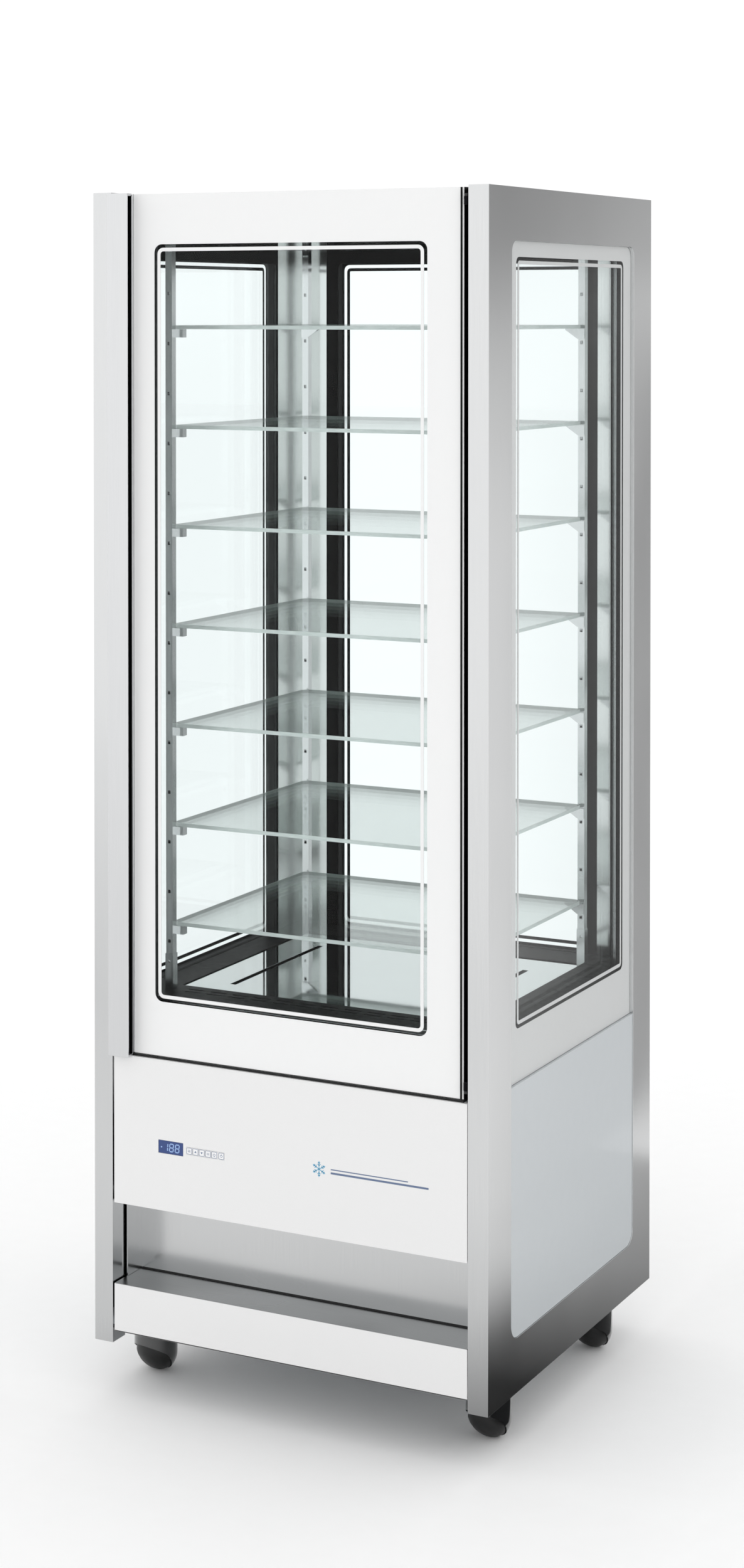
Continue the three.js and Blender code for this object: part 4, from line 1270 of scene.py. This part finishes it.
def coil(name, box, across, tubes, fin_pitch):
    """Fins and end plates square to one axis, with tubes and return bends through them."""
    low, high = box
    unit = {"X": Vector((1, 0, 0)), "Y": Vector((0, 1, 0))}[across]
    span = (high - low).dot(unit)
    count = int((span - 12) / fin_pitch)
    start = (span - (count - 1) * fin_pitch) / 2

    def slab(w0, w1, inset=1.0):
        """A thin slab square to the axis, from w0 to w1 along it."""
        a = low + unit * w0
        b = high - unit * (span - w1)
        grow = Vector((1, 1, 1)) - unit
        return block(*[v for pair in zip(a + grow * inset, b - grow * inset) for v in pair])

    grown(name + "_fins", grid_tree, [slab(start, start + 0.4, 2.0)], fin_metal,
          **grid(count, unit * fin_pitch, 1, NO_STEP))
    piece(name + "_end_plates", [slab(3.6, 5.0, 0), slab(span - 5.0, span - 3.6, 0)], zinc,
          stands_for=[name] if name == "evaporator" else [], edge=0.2)
    columns, rows = tubes
    sideways = Vector((0, 1, 0)) if across == "X" else Vector((1, 0, 0))
    room = (high - low).dot(sideways)
    step = sideways * room / columns
    rise = Vector((0, 0, (high.z - low.z) / rows))
    first = low + step / 2 + rise / 2
    pipe = tube([first + unit * 2.5, first + unit * (span - 2.5)], 4.5)
    grown(name + "_tubes", grid_tree, [pipe], copper, **grid(columns, step, rows, rise))
    if rise.length < step.length:
        bend_to, pairs = rise, grid(columns, step, rows // 2, rise * 2)
    else:
        bend_to, pairs = step, grid(columns // 2, step * 2, rows, rise)
    reach = max(0.5, min(bend_to.length / 2, 9))
    for end, out in ((first + unit * 3, -1), (first + unit * (span - 3), 1)):
        corners = [end, end + unit * out * 2.9, end + unit * out * 2.9 + bend_to, end + bend_to]
        bends = tube(routed(corners, 2.8, 5), 4.4)
        grown(f"{name}_bends_{'out' if out > 0 else 'in'}", grid_tree, [bends], copper, **pairs)
    return count


low, high = box_of("condenser")
fan_at = joint_at("condenser_fan_spin")
coil_back = low.y + 44
fins = coil("condenser", (low, Vector((high.x, coil_back, high.z))), "X", (2, 8), 3.2)
fins += coil("evaporator", box_of("evaporator"), "Y", (10, 2), 5.0)
print("fins:", fins)

# %% [markdown]
# ## Shroud and motor
# A sheet shroud leads the air from the condenser to its fan, whose motor hangs on four arms. The
# square outline has as many points as the round mouth, so one ring joins them.

# %% Condenser shroud and motor


def circle(x, z, radius):
    """A circle whose points match those of a rounded outline, quarter by quarter."""
    angles = [math.radians(90 * quarter + 90 * step / CORNER_STEPS)
              for quarter in range(4) for step in range(CORNER_STEPS + 1)]
    return [(x + radius * math.cos(a), z + radius * math.sin(a)) for a in angles]


outline = rounded(low.x, high.x, low.z, high.z, 3)
fan_back = coil_back + 63
MOUTH, SHROUD_SHEET = 98, 1.4
mouth = circle(fan_at.x, fan_at.z, MOUTH)
inside = rounded(low.x + SHROUD_SHEET, high.x - SHROUD_SHEET, low.z + SHROUD_SHEET,
                 high.z - SHROUD_SHEET, 2)
lip = [circle(fan_at.x, fan_at.z, radius) for radius in (MOUTH + 0.01, MOUTH - SHROUD_SHEET)]
piece("condenser_shroud", [
    ring("Y", outline, inside, coil_back, fan_back),
    ring("Y", outline, mouth, fan_back - SHROUD_SHEET, fan_back),
    ring("Y", *lip, fan_back - 22, fan_back),
], zinc, stands_for=["condenser"], edge=0.3)
motor = turned([(0, -20), (6, -20), (9, -17), (26, -15), (30, -11), (30, 10), (27, 13), (27, 17),
                (24, 20), (0, 20)], 40)
piece("fan_motor", [placed(motor, (fan_at.x, fan_at.y + 45, fan_at.z), (0, 1, 0))], black_enamel,
      edge=0.5)
arm = tube(routed([Vector((24, 0, 0)), Vector((60, 0, 0)), Vector((100, -9.5, 0))], 15), 2.2, 12)
grown("motor_arms", round_tree, [arm], zinc, local=True, Count=4,
      Centre=at(fan_at.x, fan_at.y + 41, fan_at.z), Axis=(0, 1, 0))
print("motor arms: 4")

# %% [markdown]
# ## Fan wheels
# A moulded blade widens toward its tip, leans against the wind and is curved across. It is
# computed row by row once, and the round tree sets its copies about the hub.

# %% Fan wheels


def blade(hub, tip, chord, pitch, camber, thick=1.6, rows=9, columns=7):
    """A blade about Z: wider and swept forward toward its tip, and curved across."""
    points, faces = [], []
    for side in (-0.5, 0.5):
        for row in range(rows + 1):
            part = row / rows
            radius, width = hub + (tip - hub) * part, chord * (0.72 + 0.42 * part - 0.2 * part ** 4)
            for column in range(columns + 1):
                t = column / columns - 0.5
                turn = 0.35 * part * part + width * t * math.cos(pitch) / radius
                height = width * t * math.sin(pitch) + camber * (1 - 4 * t * t) + side * thick
                points.append((radius * math.cos(turn), radius * math.sin(turn), height))
    wide, sheet = columns + 1, (rows + 1) * (columns + 1)
    for row in range(rows):
        for k in range(row * wide, row * wide + columns):
            faces += [(k, k + 1, k + 1 + wide, k + wide),
                      (k + sheet, k + sheet + wide, k + sheet + 1 + wide, k + sheet + 1)]
    rim = [*range(columns), *[r * wide + columns for r in range(rows)],
           *range(rows * wide + columns, rows * wide, -1), *range(rows * wide, 0, -wide)]
    faces += [(a, a + sheet, b + sheet, b) for a, b in zip(rim, rim[1:] + rim[:1])]
    return points, faces


FAN_WHEELS = {
    "condenser_fan": {"tip": 92, "hub": 22, "half": 13, "blades": 5, "chord": 50, "pitch": 0.42},
    "evaporator_fan": {"tip": 52, "hub": 16, "half": 9, "blades": 7, "chord": 25, "pitch": 0.45},
}
for name, fan in FAN_WHEELS.items():
    centre, axis = joint_at(name + "_spin"), Vector(JOINTS[name + "_spin"]["axis"])
    h, r = fan["half"], fan["hub"]
    hub = turned([(0, -h), (r - 3, -h), (r, 3 - h), (r, h - 4), (r - 1.2, h - 1.2), (r - 5, h),
                  (5, h), (4, h - 2), (0, h - 2)], 48)
    piece(name + "_hub", [placed(hub, centre, axis)], satin_plastic, body=name,
          stands_for=[name], edge=0.4)
    shape = placed(blade(r - 1, fan["tip"], fan["chord"], fan["pitch"], 2.0), (0, 0, 0), axis)
    grown(name + "_blades", round_tree, [shape], satin_plastic, body=name, slot="black_plastic",
          local=True, Count=fan["blades"], Centre=at(*centre), Axis=tuple(axis))
print("fan wheels:", len(FAN_WHEELS))

# %% [markdown]
# ## Pipes
# Copper pipes join compressor, condenser and evaporator. Each is a round tube along a path whose
# corners are rounded off, as a pipe bender leaves them. The filter drier is a turned part.

# %% Refrigerant pipes and filter drier
ROUTES = {
    "suction_pipe": ([(can_x - 68, can_y, 130), (94, can_y, 130), (94, can_y, 508),
                      (94, 420, 508), (94, 330, 508), (122, 330, 508)], 5.0),
    "discharge_pipe": ([(can_x + 10, can_y - 68, 130), (can_x + 10, 404, 130), (330, 404, 130),
                        (330, 147, 130), (330, 147, 216), (358, 147, 216)], 3.2),
    "liquid_pipe": ([(358, 147, 34), (336, 147, 34), (336, 226, 34), (336, 226, 496)], 3.2),
}
for name, (corners, radius) in ROUTES.items():
    piece(name, [tube(routed([Vector(c) for c in corners], 14), radius)], copper, edge=0)
drier = turned([(0, -48), (3.3, -48), (3.3, -42), (9.5, -32), (9.5, 32), (3.3, 42), (3.3, 48),
                (0, 48)], 24)
piece("filter_drier", [placed(drier, (336, 226, 300))], copper, edge=0.3)
print("pipes:", len(ROUTES))

# %% [markdown]
# ## Rear fittings
# The rear grille has a pressed louvre in every slot and is held by screws, so that the machine can
# be reached. Beside the rocker switch is the socket that takes the removable mains lead.

# %% Louvres, screws, rocker and mains socket
low, high = box_of("rear_grille")
LOUVRES = {"left": 125.0, "length": 190.0, "low": 185.0, "pitch": 22.0, "rows": 11}
SCREW_INSET = 12
x0, x1, z0 = LOUVRES["left"], LOUVRES["left"] + LOUVRES["length"], LOUVRES["low"]
slat = plate("X", [(low.y + 0.2, z0 + 8.0), (low.y + 1.2, z0 + 8.7), (high.y + 1.2, z0 + 5.2),
                   (high.y + 1.2, z0 + 4.0)], x0 + 0.3, x1 - 0.3)
grown("rear_louvres", grid_tree, [slat], zinc, slot="zinc_sheet", edge=0.3,
      **grid(2, (WIDTH - 2 * LOUVRES["left"] - LOUVRES["length"], 0, 0),
             LOUVRES["rows"], (0, 0, LOUVRES["pitch"])))
screw = screw_head(low.x + SCREW_INSET, high.y - 0.05, low.z + SCREW_INSET, (0, 1, 0), 3.6)
screw_pitch = (high - low) / 2 - Vector((SCREW_INSET,) * 3)
grown("rear_grille_screws", grid_tree, [screw], plated,
      **grid(3, (screw_pitch.x, 0, 0), 3, (0, 0, screw_pitch.z)))
softened("power_rocker", gloss_plastic, edge=0.5)
rocker_low, rocker_high = box_of("power_rocker")
rim, opening = [rounded(rocker_low.x - dx, rocker_high.x + dx, rocker_low.z - dz,
                        rocker_high.z + dz, radius)
                for dx, dz, radius in ((4, 4, 2), (0.5, 0.7, 0.5))]
piece("rocker_bezel", [ring("Y", rim, opening, high.y - 0.05, high.y + 1.6)], satin_plastic,
      edge=0.4)
SOCKET = {"x": 512.0, "z": 150.0, "wide": 27.0, "high": 20.0, "flange": 6.0}
u0, u1 = SOCKET["x"] - SOCKET["wide"] / 2, SOCKET["x"] + SOCKET["wide"] / 2
v0, v1 = SOCKET["z"] - SOCKET["high"] / 2, SOCKET["z"] + SOCKET["high"] / 2
f = SOCKET["flange"]
walls = ring("Y", rounded(u0 - f, u1 + f, v0 - f, v1 + f, 3), rounded(u0, u1, v0, v1, 1, 5),
             high.y - 0.05, high.y + 2.6)
floor_plate = plate("Y", rounded(u0 - 1, u1 + 1, v0 - 1, v1 + 1, 1, 5), high.y - 0.6,
                    high.y - 0.04)
piece("mains_socket", [walls, floor_plate], satin_plastic, edge=0.4)
pins = [block(SOCKET["x"] + dx - 1, SOCKET["x"] + dx + 1, high.y - 0.3, high.y + 2.2,
              SOCKET["z"] + dz - 2, SOCKET["z"] + dz + 2) for dx, dz in ((-7, -2), (0, 2), (7, -2))]
piece("mains_socket_pins", pins, plated, edge=0.3)
print("louvres:", 2 * LOUVRES["rows"])

# %% [markdown]
# ## The stage
# A plain pale floor and an even white studio. Steel shows only what it reflects, so cards that
# only reflections can show stand beside the cabinet and lie on the floor, as a
# studio sets them. A number on each corner of a card says how bright it is there.

# %% Floor, studio light and reflector cards
STUDIO_LIGHT = 1.06
world = bpy.data.worlds.new("studio")
bpy.context.scene.world = world
world.use_nodes = True
world.node_tree.nodes["Background"].inputs["Color"].default_value = (1, 1, 1, 1)
world.node_tree.nodes["Background"].inputs["Strength"].default_value = STUDIO_LIGHT


def stage_sheet(name, rows, material):
    """A sheet of the stage through rows of places in metres."""
    wide = len(rows[0])
    faces = [(k, k + 1, k + 1 + wide, k + wide)
             for row in range(len(rows) - 1) for k in range(row * wide, (row + 1) * wide - 1)]
    mesh = bpy.data.meshes.new(name)
    mesh.from_pydata([place for row in rows for place in row], [], faces)
    mesh.materials.append(material)
    sheet = shown(name, mesh)
    return sheet


card_light, tree = blank_material("card_light")
shade = add_node(tree, "ShaderNodeAttribute", attribute_name="brightness")
lamp = add_node(tree, "ShaderNodeEmission", {"Strength": shade.outputs["Fac"]})
close_material(tree, lamp.outputs["Emission"])


def card(name, us, vs, shades, place):
    """A card over the lines us and vs, with one row of shades for each v."""
    sheet = stage_sheet(name, [[place(u, v) for u in us] for v in vs], card_light)
    values = sheet.data.attributes.new("brightness", "FLOAT", "POINT")
    values.data.foreach_set("value", [value for row in shades for value in row])
    for ray in ("camera", "diffuse", "shadow", "transmission"):
        setattr(sheet, "visible_" + ray, False)


CARD_LIFT = 0.004  # metres between the floor and the cards that lie on it
studio_floor = coloured("studio_floor", "#fbfbfb", "#fefefe", (0.8, 0.9), 40, 0.0)
stage_sheet("floor", [[(-40, -40, 0), (40, -40, 0)], [(-40, 40, 0), (40, 40, 0)]], studio_floor)
card("side_card", (0.15, 0.75, 1.1, 1.48, 2.2), (0.0, 0.24, 1.27, 1.5, 1.615, 1.729, 1.844, 2.5), [
    (0.86, 0.86, 0.50, 0.38, 0.34),
    (0.90, 0.90, 0.52, 0.38, 0.34),
    (0.86, 0.86, 0.51, 0.37, 0.34),
    (0.74, 0.74, 0.52, 0.42, 0.36),
    (0.64, 0.64, 0.56, 0.52, 0.40),
    (0.48, 0.48, 0.56, 0.66, 0.50),
    (0.34, 0.34, 0.40, 0.52, 0.42),
    (0.20, 0.20, 0.25, 0.30, 0.30),
], lambda u, v: (0.8, u, v))
card("side_floor_card", (0.35, 0.45, 0.556, 0.675, 0.8), (-0.5, 0.0, 0.6, 1.2), [
    (0.02, 0.03, 0.00, 0.64, 0.88),
    (0.02, 0.02, 0.00, 0.70, 0.88),
    (0.24, 0.30, 0.32, 0.70, 0.80),
    (0.30, 0.36, 0.44, 0.40, 0.38),
], lambda u, v: (u, v, CARD_LIFT))
card("front_floor_card", (-6, -2.6, -1.2, -0.5, 0.2, 0.6),
     (-0.4, -0.56, -1.05, -1.7, -2.54, -3.73, -6), [
    (0.60, 0.60, 0.60, 0.60, 0.25, 0.20),
    (0.70, 0.70, 0.70, 0.71, 0.37, 0.30),
    (0.80, 0.80, 0.80, 0.80, 0.75, 0.75),
    (0.80, 0.80, 0.82, 0.90, 0.95, 0.95),
    (0.72, 0.72, 0.80, 0.88, 0.95, 0.95),
    (0.87, 0.87, 0.98, 1.00, 1.00, 1.00),
    (0.97, 0.97, 1.00, 1.02, 1.02, 1.02),
], lambda u, v: (u, v, CARD_LIFT))
print("cards: 3")
